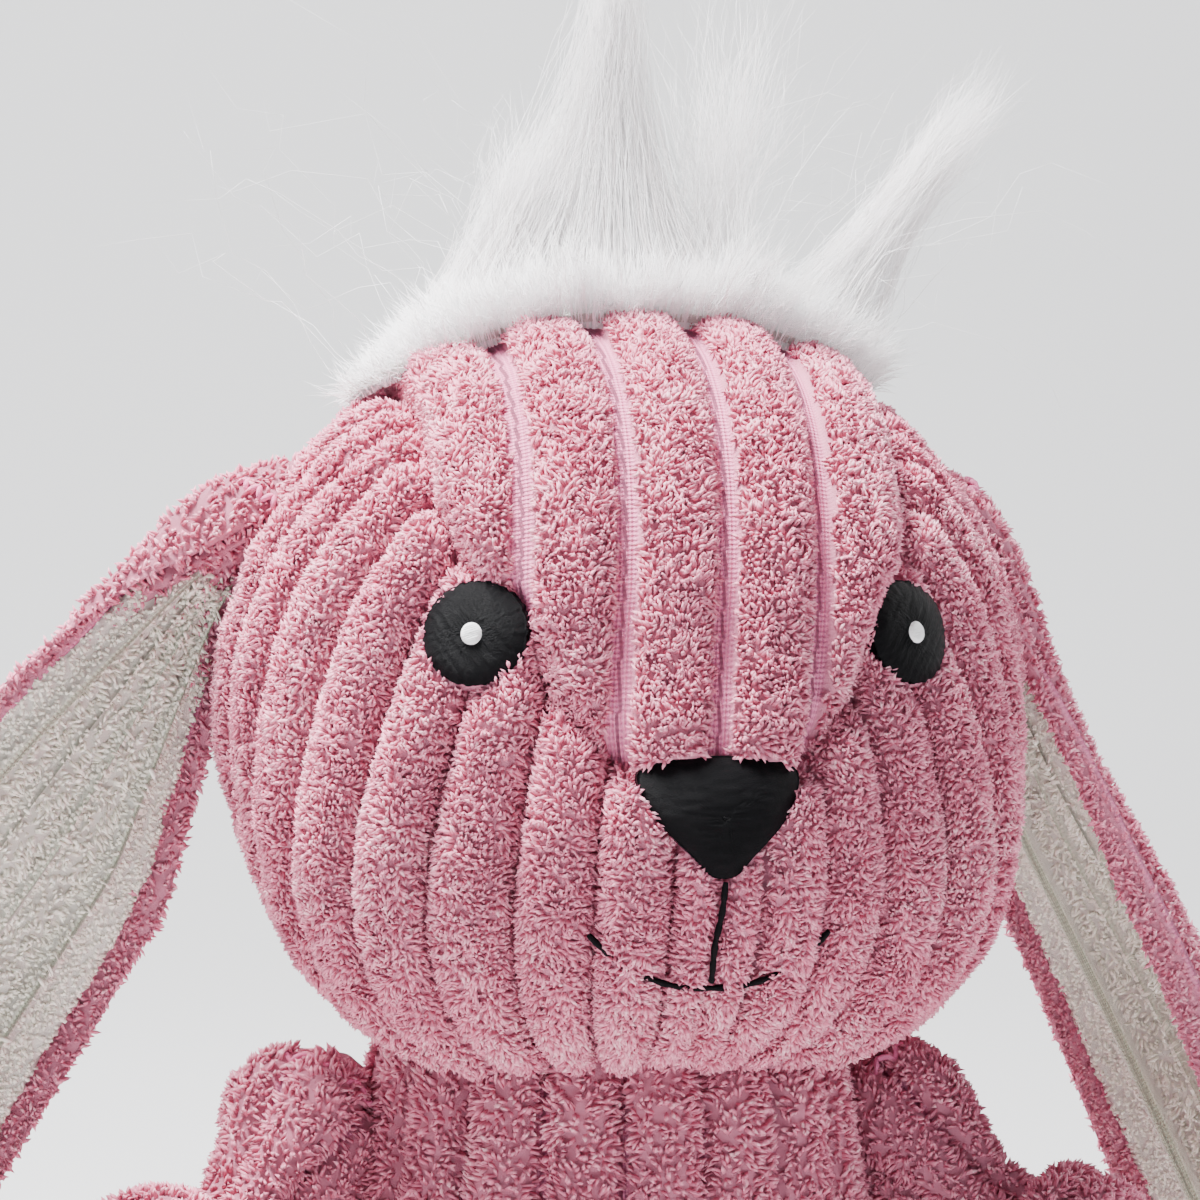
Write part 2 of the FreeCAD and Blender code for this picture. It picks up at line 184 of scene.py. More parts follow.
def normals_of(points, triangles):
    """Area-weighted point normals."""
    a, b, c = (points[triangles[:, k]] for k in range(3))
    face = np.cross(b - a, c - a)
    total = np.zeros_like(points)
    for k in range(3):
        for axis in range(3):
            total[:, axis] += np.bincount(triangles[:, k], weights=face[:, axis], minlength=len(points))
    return unit(total)


def face_outwards(points, triangles):
    """The triangles of a closed surface, turned over if they face inwards."""
    middle = points.mean(axis=0)
    a, b, c = (points[triangles[:, k]] - middle for k in range(3))
    volume = np.sum(a * np.cross(b, c))
    return triangles if volume > 0 else triangles[:, ::-1]


def make_object(name, points, triangles, materials, indices=None, values=None):
    """A smooth mesh object in metres. values are named numbers, one for each point."""
    mesh = bpy.data.meshes.new(name)
    mesh.vertices.add(len(points))
    mesh.vertices.foreach_set("co", (points * MM).astype(np.float32).ravel())
    mesh.loops.add(triangles.size)
    mesh.loops.foreach_set("vertex_index", triangles.astype(np.int32).ravel())
    mesh.polygons.add(len(triangles))
    mesh.polygons.foreach_set("loop_start", np.arange(0, triangles.size, 3, dtype=np.int32))
    for material in materials:
        mesh.materials.append(material)
    if indices is not None:
        mesh.polygons.foreach_set("material_index", indices.astype(np.int32))
    mesh.update(calc_edges=True)
    mesh.shade_smooth()
    for label, numbers in (values or {}).items():
        mesh.attributes.new(label, "FLOAT", "POINT").data.foreach_set("value", numbers.astype(np.float32))
    obj = bpy.data.objects.new(name, mesh)
    bpy.context.scene.collection.objects.link(obj)
    return obj


# ------------------------------------------------------------------ materials


def new_material(name, color, roughness=0.9, sheen=0.0, specular=0.25, painted_glow=0.0):
    """A plain principled material whose sockets are set directly."""
    material = bpy.data.materials.new(name)
    material.use_nodes = True
    shader = material.node_tree.nodes["Principled BSDF"]
    shader.inputs["Base Color"].default_value = (*color, 1)
    shader.inputs["Roughness"].default_value = roughness
    shader.inputs["Sheen Weight"].default_value = sheen
    shader.inputs["Sheen Roughness"].default_value = 0.6
    shader.inputs["Sheen Tint"].default_value = (*color, 1)
    shader.inputs["Specular IOR Level"].default_value = specular
    # Emission is painted light: a glow from a surface that is no lamp, used to lift pile and fur out of their
    # shade.
    shader.inputs["Emission Color"].default_value = (*color, 1)
    shader.inputs["Emission Strength"].default_value = painted_glow
    return material


def math_node(tree, operation, *inputs):
    node = tree.nodes.new("ShaderNodeMath")
    node.operation = operation
    for socket, value in zip(node.inputs, inputs):
        if isinstance(value, (int, float)):
            socket.default_value = value
        else:
            tree.links.new(value, socket)
    return node.outputs[0]


def attribute(tree, name):
    node = tree.nodes.new("ShaderNodeAttribute")
    node.attribute_name = name
    return node.outputs["Fac"]


def ribbed_cloth(name, ground, ribbon, shade):
    """Cloth whose ground shows between the pile, and whose grooves show a fine bright knit with painted shade in
    its hollows.

    The mesh carries groove (1 in a groove), across and along (millimetres on the cloth).
    """
    material = new_material(name, ground, roughness=0.92, sheen=0.2)
    tree = material.node_tree
    shader = tree.nodes["Principled BSDF"]
    groove, across, along = (attribute(tree, label) for label in ("groove", "across", "along"))
    stitch_length, stitch_width = 0.8, 0.62
    rows = math_node(tree, "SINE", math_node(tree, "MULTIPLY", along, 2 * math.pi / stitch_length))
    slope = math_node(tree, "MULTIPLY", math_node(tree, "ABSOLUTE", rows), 0.8)
    turns = math_node(tree, "MULTIPLY", across, 2 * math.pi / stitch_width)
    columns = math_node(tree, "SINE", math_node(tree, "ADD", turns, slope))
    knit = math_node(tree, "MULTIPLY", math_node(tree, "ADD", rows, columns), 0.25)
    knit = math_node(tree, "ADD", knit, 0.5)
    noise = tree.nodes.new("ShaderNodeTexNoise")
    noise.inputs["Scale"].default_value = 900
    noise.inputs["Detail"].default_value = 3
    fluff = math_node(tree, "MULTIPLY", noise.outputs["Fac"], math_node(tree, "SUBTRACT", 1.0, groove))
    height = math_node(tree, "ADD", fluff, math_node(tree, "MULTIPLY", knit, groove))
    bump = tree.nodes.new("ShaderNodeBump")
    bump.inputs["Strength"].default_value = 0.9
    bump.inputs["Distance"].default_value = 0.0004
    tree.links.new(height, bump.inputs["Height"])
    tree.links.new(bump.outputs["Normal"], shader.inputs["Normal"])

    # Painted shade: the knit's low places take shade, the ribbon's colour as it looks in shadow, and its raised
    # loops take ribbon.
    ribbon_mix = tree.nodes.new("ShaderNodeMix")
    ribbon_mix.data_type = "RGBA"
    ribbon_mix.inputs["A"].default_value = (*shade, 1)
    ribbon_mix.inputs["B"].default_value = (*ribbon, 1)
    tree.links.new(knit, ribbon_mix.inputs["Factor"])
    cloth_mix = tree.nodes.new("ShaderNodeMix")
    cloth_mix.data_type = "RGBA"
    cloth_mix.inputs["A"].default_value = (*ground, 1)
    tree.links.new(groove, cloth_mix.inputs["Factor"])
    tree.links.new(ribbon_mix.outputs["Result"], cloth_mix.inputs["B"])
    tree.links.new(cloth_mix.outputs["Result"], shader.inputs["Base Color"])
    return material


def thread_material(name, color, line_size, roughness=0.55, sheen=0.15, specular=0.25):
    """Embroidery or sewing thread: fine fibres running along each stitch."""
    material = new_material(name, color, roughness, sheen, specular)
    tree = material.node_tree
    shader = tree.nodes["Principled BSDF"]
    coordinates = tree.nodes.new("ShaderNodeTexCoord")
    stretch = tree.nodes.new("ShaderNodeMapping")
    stretch.inputs["Scale"].default_value = (1.0, 1.0, 6.0)
    noise = tree.nodes.new("ShaderNodeTexNoise")
    noise.inputs["Scale"].default_value = 1.0 / (line_size * MM)
    noise.inputs["Detail"].default_value = 2
    bump = tree.nodes.new("ShaderNodeBump")
    bump.inputs["Strength"].default_value = 0.5
    bump.inputs["Distance"].default_value = 0.0003
    tint = tree.nodes.new("ShaderNodeMix")
    tint.data_type = "RGBA"
    tint.inputs["A"].default_value = (*color, 1)
    tint.inputs["B"].default_value = (*[min(1.0, 1.7 * c + 0.002) for c in color], 1)
    tree.links.new(coordinates.outputs["Object"], stretch.inputs["Vector"])
    tree.links.new(stretch.outputs["Vector"], noise.inputs["Vector"])
    tree.links.new(noise.outputs["Fac"], bump.inputs["Height"])
    tree.links.new(bump.outputs["Normal"], shader.inputs["Normal"])
    tree.links.new(noise.outputs["Fac"], tint.inputs["Factor"])
    tree.links.new(tint.outputs["Result"], shader.inputs["Base Color"])
    return material


# Each cloth: ground, ribbon, and shade, a darker ribbon colour painted into the knit's hollows as shade.
PINK_CLOTH = ribbed_cloth("pink_cloth", (0.66, 0.25, 0.35), (0.88, 0.32, 0.50), (0.60, 0.15, 0.30))
CREAM_CLOTH = ribbed_cloth("cream_cloth", (0.85, 0.82, 0.75), (0.66, 0.71, 0.55), (0.45, 0.50, 0.36))
# Pile tones, darker to paler: the pile's own uneven colour, and also painted shade down each nub's sides and
# painted light on its tip.
PINK_PILE = [
    new_material("pink_pile_deep_and_painted_shade", (0.68, 0.215, 0.315), 0.95, 0.2),
    new_material("pink_pile_mid", (0.78, 0.31, 0.41), 0.95, 0.25),
    new_material("pink_pile_pale_and_painted_light", (0.88, 0.46, 0.545), 0.95, 0.3),
]
# Cream pile tones, as the pink: the pile's own uneven colour, and also painted shade down each nub's sides and
# painted light on its tip.
CREAM_PILE = [
    # The cream pile glows a little: painted light that brightens it in its shade.
    new_material("cream_pile_deep_and_painted_shade", (0.88, 0.85, 0.74), 0.95, 0.2, painted_glow=0.06),
    new_material("cream_pile_mid", (0.94, 0.91, 0.81), 0.95, 0.25, painted_glow=0.08),
    new_material("cream_pile_pale_and_painted_light", (0.97, 0.95, 0.88), 0.95, 0.3, painted_glow=0.10),
]
# The fur glows a little: painted light that keeps it white where its own hairs shade it.
FUR = [
    new_material("fur_white", (0.95, 0.94, 0.95), 0.5, 0.2, painted_glow=0.16),
    new_material("fur_warm", (0.95, 0.89, 0.89), 0.6, 0.2, painted_glow=0.12),
]
BLACK = (0.002, 0.002, 0.0025)
BLACK_THREAD = thread_material("black_thread", BLACK, 0.35, roughness=0.45, sheen=0.0, specular=0.05)
WHITE_THREAD = thread_material("white_thread", (0.86, 0.86, 0.88), 0.3)
PINK_THREAD = thread_material("pink_thread", (0.62, 0.16, 0.30), 0.4, roughness=0.6)


# ------------------------------------------------------------------ ribs and pile on any surface


class Surface:
    """A closed cloth surface before its relief: points, triangles and, for each point, where it is on the cloth.

    rib is the place across its rib, from -1 to 1 with a groove at each end; sideways is the direction across the
    rib; share is how much of the width the pile takes; crease is extra depth for seams; bare is 1 where no pile
    grows; lift is extra height.
    """

    def __init__(self, points, triangles, rib, sideways, along, **extra):
        triangles = face_outwards(points, triangles)
        self.points, self.triangles = points, triangles
        self.rib, self.sideways, self.along = rib, sideways, along
        nothing = np.zeros(len(points))
        self.share = nothing + extra.get("share", CLOSED_GROOVE)
        self.crease, self.bare, self.lift = (extra.get(label, nothing) for label in ("crease", "bare", "lift"))

    def raise_ribs(self, depth):
        """Turns the ribs, seams and unevenness into real relief."""
        normals = normals_of(self.points, self.triangles)
        inside = np.clip(np.abs(self.rib) / self.share, 0, 1)
        crown = np.sqrt(np.maximum(1 - inside**2.6, 0))
        uneven = (0.40 * soft_noise(self.points, 7.0, 5) + 0.25 * soft_noise(self.points, 2.4, 9)) * crown
        height = (depth * (crown - 1) + uneven) * (1 - self.bare) - self.crease + self.lift
        self.points = self.points + normals * (height - GROUND_INSET)[:, None]
        self.groove = smoothstep(self.share - 0.04, self.share + 0.06, np.abs(self.rib)) * (1 - self.bare)
        return self

    def cover(self, name, material):
        values = {"groove": self.groove, "across": self.rib * RIB_PITCH / 2, "along": self.along}
        return make_object(name, self.points, self.triangles, [material], values=values)

    def scatter(self, density, keep=None):
        """Random places on the pile, density to a square mm: position, normal, rib, direction, share."""
        a, b, c = (self.points[self.triangles[:, k]] for k in range(3))
        area = np.linalg.norm(np.cross(b - a, c - a), axis=1) / 2
        if keep is not None:
            area = area * keep(self.points[self.triangles[:, 0]])
        total = np.cumsum(area)
        count = int(total[-1] * density)
        spots = (np.arange(count) + rng.random(count)) / count
        chosen = np.minimum(np.searchsorted(total, spots * total[-1]), len(self.triangles) - 1)
        u, v = rng.random(count), rng.random(count)
        over = u + v > 1
        u[over], v[over] = 1 - u[over], 1 - v[over]
        corners = self.triangles[chosen]
        shares = np.stack([1 - u - v, u, v], axis=-1)

        def blend(values):
            picked = values[corners]
            weight = shares if picked.ndim == 2 else shares[..., None]
            return np.sum(picked * weight, axis=1)

        normals = normals_of(self.points, self.triangles)
        rib, share = self.rib[corners[:, 0]], self.share[corners[:, 0]]
        grown = (np.abs(rib) < share - 0.02) & (blend(self.bare) < 0.5)
        place, normal, side = blend(self.points), unit(blend(normals)), unit(blend(self.sideways))
        return place[grown], normal[grown], rib[grown], side[grown], share[grown]


def join(piece, body, seam=None):
    """Rides a piece on its body; given a seam, it rides on no body and only has its place baked into its mesh.
    """
    if seam is None:
        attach(piece, body)
    else:
        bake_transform(piece)


# A nub of pile: rings of (height, width) as shares of its own, below its tip. Ridges run up its sides.
NUB_RINGS = ((-0.35, 0.90), (0.58, 0.82))
NUB_RIDGE = 0.70
FACE_LIMIT = 190000
NUB_SIDES = 3


def nub_faces():
    """Triangles of one nub, and how far up it each one is, from 0 to 1."""
    sides = NUB_SIDES
    after = [(k + 1) % sides for k in range(sides)]
    faces = [(0, k + 1, k) for k in range(1, sides - 1)]
    level = [0] * len(faces)
    for ring in range(len(NUB_RINGS) - 1):
        low, high = ring * sides, (ring + 1) * sides
        for k in range(sides):
            faces += [(low + k, low + after[k], high + after[k]), (low + k, high + after[k], high + k)]
            level += [ring, ring]
    top = (len(NUB_RINGS) - 1) * sides
    faces += [(top + k, top + after[k], top + sides) for k in range(sides)]
    return np.array(faces), np.array(level + [1] * sides)


def grow_pile(name, surface, body, materials, density, size=1.0, keep=None, seam=None):
    """Stands small blunt nubs of pile on a surface, each leaning its own way, in objects of limited size."""
    place, normal, rib, side, share = surface.scatter(density * (1.0), keep)
    count = len(place)
    side = unit(side - normal * np.sum(side * normal, axis=1, keepdims=True))
    forward = np.cross(normal, side)
    combed = np.sign(rib) * np.abs(rib / share) ** 2 * np.where(share > 0.85, 0.6, 0.0)
    turn = 3 * math.pi * soft_noise(place, 5.0, 13) + rng.normal(size=count) * 0.8
    curl = side * np.cos(turn)[:, None] + forward * np.sin(turn)[:, None]
    wander = rng.normal(size=(count, 3))
    axis = unit(normal + side * combed[:, None] + curl * 0.34 + wander * 0.12)
    first = unit(np.cross(axis, wander))
    second = np.cross(axis, first)
    length = (NUB_LENGTH * size * (0.75 + 0.5 * rng.random(count)))[:, None]
    width = (NUB_WIDTH * size * (0.8 + 0.4 * rng.random(count)) * 1.0)[:, None]
    rings = []
    for rise, spread in NUB_RINGS:
        centre = place + (axis * rise + curl * 0.4 * rise * abs(rise)) * length
        for k in range(NUB_SIDES):
            angle = 2 * math.pi * k / NUB_SIDES
            ridge = NUB_RIDGE if k % 2 else 1.0
            towards = first * math.cos(angle) + second * math.sin(angle)
            rings.append(centre + towards * width * spread * ridge)
    points = np.stack([*rings, place + (axis + curl * 0.4) * length], axis=1)
    per_nub = points.shape[1]
    points = points.reshape(-1, 3)
    faces, level = nub_faces()
    # Each nub's tone is a random step and a soft noise, the pile's own uneven colour. The tip cap is one step
    # paler than the sides: painted light on the tips and painted shade lower down.
    shade = 1.5 * rng.random(count) - 0.35 + 0.5 * soft_noise(place, 9.0, 23)
    tone = np.clip(shade[:, None] + 0.9 * level[None], 0, len(materials) - 0.01).astype(int)

    pieces = []
    parts = max(1, math.ceil(count * len(faces) / FACE_LIMIT))
    for part in range(parts):
        low, high = part * count // parts, (part + 1) * count // parts
        steps = per_nub * np.arange(high - low)
        triangles = (faces[None] + steps[:, None, None]).reshape(-1, 3)
        label = name if parts == 1 else f"{name}_{part + 1}"
        own = points[per_nub * low : per_nub * high]
        obj = make_object(label, own, triangles, materials, tone[low:high].reshape(-1))
        join(obj, body, seam)
        pieces.append(obj)
    return pieces


# ------------------------------------------------------------------ head


def head_distance(points):
    """Signed distance to the stuffed head, its skull, cheeks and muzzle flowing into one another."""
    across = np.sign(points[..., 0]) * np.maximum(np.abs(points[..., 0]) - SKULL_HALF_LENGTH, 0)
    distance = np.sqrt(across**2 + points[..., 1] ** 2 + points[..., 2] ** 2) - SKULL_RADIUS
    blend = 9.0
    for centre, radius in HEAD_BULGES:
        other = np.linalg.norm(points - np.array(centre, float), axis=-1) - radius
        share = np.clip(0.5 + 0.5 * (other - distance) / blend, 0, 1)
        distance = other + (distance - other) * share - blend * share * (1 - share) * 0.6
    return distance


def land_on_head(origins, directions, reach=150.0):
    """Where rays from outside, running back along directions, meet the head, from its centre."""
    travelled = np.full(origins.shape[:-1], reach)
    for _ in range(60):
        travelled = travelled - head_distance(origins + directions * travelled[..., None]) * 0.9
    return origins + directions * travelled[..., None]


# Half width of the brow panel at heights above the head's centre: it narrows from the crown to the nose
BROW_HEIGHTS = (-12, -8, -4, 3, 11, 21, 32, 45)
BROW_HALF_WIDTHS = (12.5, 15.5, 19.5, 24.5, 28.4, 35.3, 39.4, 38.5)
NAPE_HEIGHTS = (-60, -40, 0, 45)
NAPE_HALF_WIDTHS = (22.0, 26.0, 33.0, 38.5)
BROW_PITCH = 15.5
CHEEK_PITCH_DEG = 14.3
CHEEK_AXIS_TILT = math.radians(15)
CHEEK_AXIS_POINT = np.array([0.0, -20.0, 0.0])


def head_ribs(p):
    """Rib place, sideways direction, distance along and from the nearest panel seam, for head points."""
    x, y, z = p[:, 0], p[:, 1], p[:, 2]
    facing = smoothstep(12, -12, y)
    brow = np.interp(z, BROW_HEIGHTS, BROW_HALF_WIDTHS)
    nape = np.interp(z, NAPE_HEIGHTS, NAPE_HALF_WIDTHS)
    half = facing * brow + (1 - facing) * nape
    in_brow = (np.abs(x) < half) & ((z > -12) | (y > 0))

    across = x - 0.12 * (z - 56) * facing
    brow_turns = (across - 7.4) / BROW_PITCH
    axis = np.array([0, -math.sin(CHEEK_AXIS_TILT), math.cos(CHEEK_AXIS_TILT)])
    back = np.array([0, math.cos(CHEEK_AXIS_TILT), math.sin(CHEEK_AXIS_TILT)])
    arm = p - CHEEK_AXIS_POINT
    angle = np.degrees(np.arctan2(np.abs(x), -(arm @ back)))
    angle = np.where(angle > 90, 90 + (angle - 90) * 1.35, angle)
    cheek_turns = (angle - 8.5) / CHEEK_PITCH_DEG
    turns = np.where(in_brow, brow_turns, cheek_turns)
    rib = 2 * (turns - np.floor(turns)) - 1

    ahead = unit(np.cross(axis, arm - (arm @ axis)[:, None] * axis))
    ahead = ahead * np.where(x < 0, -1.0, 1.0)[:, None]
    sideways = np.where(in_brow[:, None], np.array([1.0, 0, 0]), ahead)
    along = np.where(in_brow, np.arctan2(z, -y) * SKULL_RADIUS, arm @ axis)
    seam = np.abs(np.abs(x) - half) / (1 + 0.5 * facing * smoothstep(30, 5, z))
    seam = np.where((z > -12) | (y > 0), seam, np.abs(x))
    return rib, sideways, along, seam, in_brow


def face_frame(side):
    """An eye's outward direction and its centre, from the head's centre."""
    out = np.array([side * math.sin(EYE_AZIMUTH), -math.cos(EYE_AZIMUTH), 0.0])
    right = np.array([math.cos(EYE_AZIMUTH), side * math.sin(EYE_AZIMUTH), 0.0])
    return out, right, np.array([0.0, 0.0, EYE_HEIGHT])


def build_head():
    """The head's cover: a sphere of rays about a point near the face, where the mesh is finest."""
    rows, columns = ((290, 336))
    turn = np.linspace(0, 2 * math.pi, columns, endpoint=False)
    turn = turn - 0.3 * np.sin(turn)
    tilt = np.linspace(0, math.pi, rows + 2)[1:-1]
    tilt, turn = np.meshgrid(tilt, turn, indexing="ij")
    wide = np.sin(tilt)
    rays = np.stack([np.cos(tilt), -wide * np.cos(turn), -wide * np.sin(turn)], -1).reshape(-1, 3)
    rays = np.concatenate([[[1.0, 0, 0]], rays, [[-1.0, 0, 0]]])
    middle = np.array([0.0, -10.0, 0.0])
    points = land_on_head(np.broadcast_to(middle, rays.shape), rays)
    rib, sideways, along, seam, in_brow = head_ribs(points)
    crease = 2.8 * np.exp(-((seam / 2.0) ** 2))
    lift = 2.6 * in_brow * smoothstep(0, 5, seam) * smoothstep(-14, 2, points[:, 2])

    bare = np.zeros(len(points))
    for side in (1, -1):
        out, right, centre = face_frame(side)
        flat = points - centre
        from_eye = np.hypot(flat @ right, flat[:, 2])
        from_eye = np.where(flat @ out > 0, from_eye, 99.0)
        bare = np.maximum(bare, smoothstep(EYE_RADIUS + 0.2, EYE_RADIUS - 1.0, from_eye))
        crease = crease * smoothstep(EYE_RADIUS - 1, EYE_RADIUS + 3, from_eye)
        crease += 1.3 * smoothstep(EYE_RADIUS + 5.5, EYE_RADIUS - 1, from_eye)
        lift = lift * smoothstep(EYE_RADIUS - 1, EYE_RADIUS + 2.5, from_eye)
    in_nose = (points[:, 1] < 0) & inside_nose(points[:, 0], points[:, 2], 0.6)
    bare = np.maximum(bare, in_nose.astype(float))
    crease = np.where(in_nose, 1.2, crease)
    share = np.where(in_brow, OPEN_GROOVE, CLOSED_GROOVE)
    surface = Surface(points + HEAD, capped_triangles(rows, columns), rib, sideways, along,
                      crease=crease, bare=bare, lift=lift, share=share)
    return surface.raise_ribs(np.where(in_brow, 2.9, 5.6))


def nose_outline(count):
    """Points round the nose, from its top left corner, as (across, up) from the head's centre."""
    top, low = NOSE_TOP, NOSE_TOP - NOSE_HEIGHT
    corners = [(-NOSE_HALF_WIDTH, top - 3), (-NOSE_HALF_WIDTH + 3, top - 0.6), (0, top + 0.3),
               (NOSE_HALF_WIDTH - 3, top - 0.6), (NOSE_HALF_WIDTH, top - 3), (NOSE_HALF_WIDTH * 0.80, top - 9),
               (4.6, low + 3.2), (2.2, low + 0.6), (0, low), (-2.2, low + 0.6), (-4.6, low + 3.2),
               (-NOSE_HALF_WIDTH * 0.80, top - 9)]
    corners = np.array(corners)
    place = np.arange(count) * len(corners) / count
    index = place.astype(int)
    part = (place - index)[:, None]
    p0, p1, p2, p3 = (corners[(index + k) % len(corners)] for k in (-1, 0, 1, 2))
    return 0.5 * (2 * p1 + (p2 - p0) * part + (2 * p0 - 5 * p1 + 4 * p2 - p3) * part**2
                  + (3 * p1 - p0 - 3 * p2 + p3) * part**3)


def inside_nose(across, up, margin):
    """Whether places on the face are inside the nose's outline, grown by margin."""
    outline = nose_outline(72)
    centre = outline.mean(axis=0)
    edge = outline - centre
    order = np.argsort(np.arctan2(edge[:, 1], edge[:, 0]))
    angles, reach = np.arctan2(edge[order, 1], edge[order, 0]), np.hypot(edge[order, 0], edge[order, 1])
    here = np.arctan2(up - centre[1], across - centre[0])
    edge = np.interp(here, angles, reach, period=2 * math.pi) + margin
    return np.hypot(across - centre[0], up - centre[1]) < edge


def embroidered_patch(name, outline, right, out, origin, top, crown, thread, line_pitch, material, node):
    """A padded satin-stitch patch on the face; outline is (across, up) points about origin, along out."""
    rings, around = 26, len(outline)
    share = np.linspace(0, 1, rings + 1)[1:]
    centre = outline.mean(axis=0)
    flat = centre + share[:, None, None] * (outline - centre)[None]
    flat = np.concatenate([centre[None], flat.reshape(-1, 2)])
    depth = np.concatenate([[0.0], np.repeat(share, around)])
    up = np.array([0.0, 0, 1])
    starts = origin + flat[:, :1] * right + flat[:, 1:] * up
    landed = land_on_head(starts, np.broadcast_to(out, starts.shape), 100.0)
    along = flat @ np.array([math.cos(thread), math.sin(thread)])
    over = flat @ np.array([-math.sin(thread), math.cos(thread)])
    stagger = np.floor(along / 4.0 + 0.5 * np.sin(over * 7)) * 0.5
    ridge = 0.10 * np.abs(np.sin(math.pi * (over / line_pitch + stagger)))
    ridge += 0.06 * soft_noise(np.stack([along / 3, over * 2, over * 0], -1), 1.0, 21)
    height = -top + crown * (1 - depth**5) + ridge * smoothstep(0.02, 0.15, depth) * (1 - depth**8)
    front = landed + out * height[:, None]
    back = landed - out * (top + 1.4)
    count = len(front)
    face = capped_fan(rings, around)
    rim_start = 1 + (rings - 1) * around
    rim = rim_start + np.arange(around)
    after = rim_start + (np.arange(around) + 1) % around
    lower = np.stack([rim, rim + count, after + count], -1)
    upper = np.stack([rim, after + count, after], -1)
    wall = np.concatenate([lower, upper])
    points = np.concatenate([front, back]) + HEAD
    triangles = face_outwards(points, np.concatenate([face, wall, face[:, ::-1] + count]))
    obj = make_object(name, points, triangles, [material])
    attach(obj, "head")
    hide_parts(node)
    return obj


def capped_fan(rings, around):
    """Triangles of a disc: a middle point, then rings of points."""
    column = np.arange(around)
    after = (column + 1) % around
    fan = np.stack([np.zeros_like(column), 1 + column, 1 + after], -1)
    return np.concatenate([fan, grid_triangles(rings, around) + 1])


# ------------------------------------------------------------------ tubes: limbs, torso, stitching


def smooth_path(points, count, closed=False):
    """A curve through points, sampled evenly in parameter."""
    points = np.asarray(points, float)
    spans = len(points) if closed else len(points) - 1
    place = np.linspace(0, spans, count, endpoint=not closed)
    index = np.minimum(place.astype(int), spans - 1)
    part = (place - index)[:, None]

    def pick(k):
        where = index + k
        return points[where % len(points)] if closed else points[np.clip(where, 0, len(points) - 1)]

    p0, p1, p2, p3 = pick(-1), pick(0), pick(1), pick(2)
    return 0.5 * (2 * p1 + (p2 - p0) * part + (2 * p0 - 5 * p1 + 4 * p2 - p3) * part**2
                  + (3 * p1 - p0 - 3 * p2 + p3) * part**3)


def frames_along(path, closed=False):
    """Tangent, side and up directions that turn as little as possible along a path."""
    ahead = np.roll(path, -1, axis=0) - np.roll(path, 1, axis=0)
    if not closed:
        ahead[0], ahead[-1] = path[1] - path[0], path[-1] - path[-2]
    ahead = unit(ahead)
    start = np.array([0.0, 0, 1]) if abs(ahead[0][2]) < 0.9 else np.array([0.0, -1, 0])
    up = [unit(start - ahead[0] * (start @ ahead[0]))]
    for k in range(1, len(path)):
        here = up[-1] - ahead[k] * (up[-1] @ ahead[k])
        up.append(unit(here))
    up = np.array(up)
    if closed:
        side = np.cross(ahead[0], up[0])
        twist = math.atan2(up[-1] @ side, up[-1] @ up[0])
        turn = -twist * np.linspace(0, 1, len(path))[:, None]
        up = up * np.cos(turn) + np.cross(ahead, up) * np.sin(turn)
    return ahead, np.cross(ahead, up), up


def tube(path, radius, around, ribs, closed=False, oval=1.0, turn=0.0):
    """A cloth surface swept along a path, its ribs running lengthwise."""
    ahead, side, up = frames_along(path, closed)
    angle = np.linspace(0, 2 * math.pi, around, endpoint=False)
    ring = side[:, None] * np.cos(angle)[None, :, None] * oval + up[:, None] * np.sin(angle)[None, :, None]
    points = (path[:, None] + ring * radius[:, None, None]).reshape(-1, 3)
    tangent = -side[:, None] * np.sin(angle)[None, :, None] + up[:, None] * np.cos(angle)[None, :, None]
    sideways = tangent.reshape(-1, 3)
    turns = np.tile((angle + turn) * ribs / (2 * math.pi), len(path))
    rib = 2 * (turns - np.floor(turns)) - 1
    steps = np.linalg.norm(np.diff(path, axis=0), axis=1)
    along = np.repeat(np.concatenate([[0], np.cumsum(steps)]), around)
    if closed:
        rows = len(path)
        triangles = grid_triangles(rows, around)
        column = np.arange(around)
        after = (column + 1) % around
        last = (rows - 1) * around
        a, b, c, d = last + column, last + after, after, column
        triangles = np.concatenate([triangles, np.stack([a, b, c], -1), np.stack([a, c, d], -1)])
        return Surface(points, triangles[:, ::-1], rib, sideways, along)
    first, last = path[0] - ahead[0] * radius[0] * 0.2, path[-1] + ahead[-1] * radius[-1] * 0.2
    points = np.concatenate([first[None], points, last[None]])
    sideways = np.concatenate([side[:1], sideways, side[-1:]])
    rib = np.concatenate([[0], rib, [0]])
    along = np.concatenate([[0], along, along[-1:]])
    return Surface(points, capped_triangles(len(path), around), rib, sideways, along)


def bead_radius(beads, at):
    """The outline radius round a row of spheres joined by tangent cones."""
    best = np.zeros_like(at)
    for (z1, r1), (z2, r2) in zip(beads, beads[1:]):
        slope = (r1 - r2) / (z2 - z1)
        level = math.sqrt(1 - slope**2)
        low, high = z1 + r1 * slope, z2 + r2 * slope
        line = (r1 - (at - z1) * slope) / level
        first = np.sqrt(np.maximum(r1**2 - (at - z1) ** 2, 0))
        second = np.sqrt(np.maximum(r2**2 - (at - z2) ** 2, 0))
        best = np.maximum(best, np.where(at < low, first, np.where(at > high, second, line)))
    return best


def even_ends(low, high, count):
    """Places from low to high, closer together towards both ends, where a rounded end turns in."""
    turn = np.linspace(0.02, math.pi - 0.02, count)
    crowded = (high - low) * (0.5 - 0.5 * np.cos(turn)) * 0.35
    return low + crowded + (high - low) * 0.65 * np.linspace(0.0003, 0.9997, count)


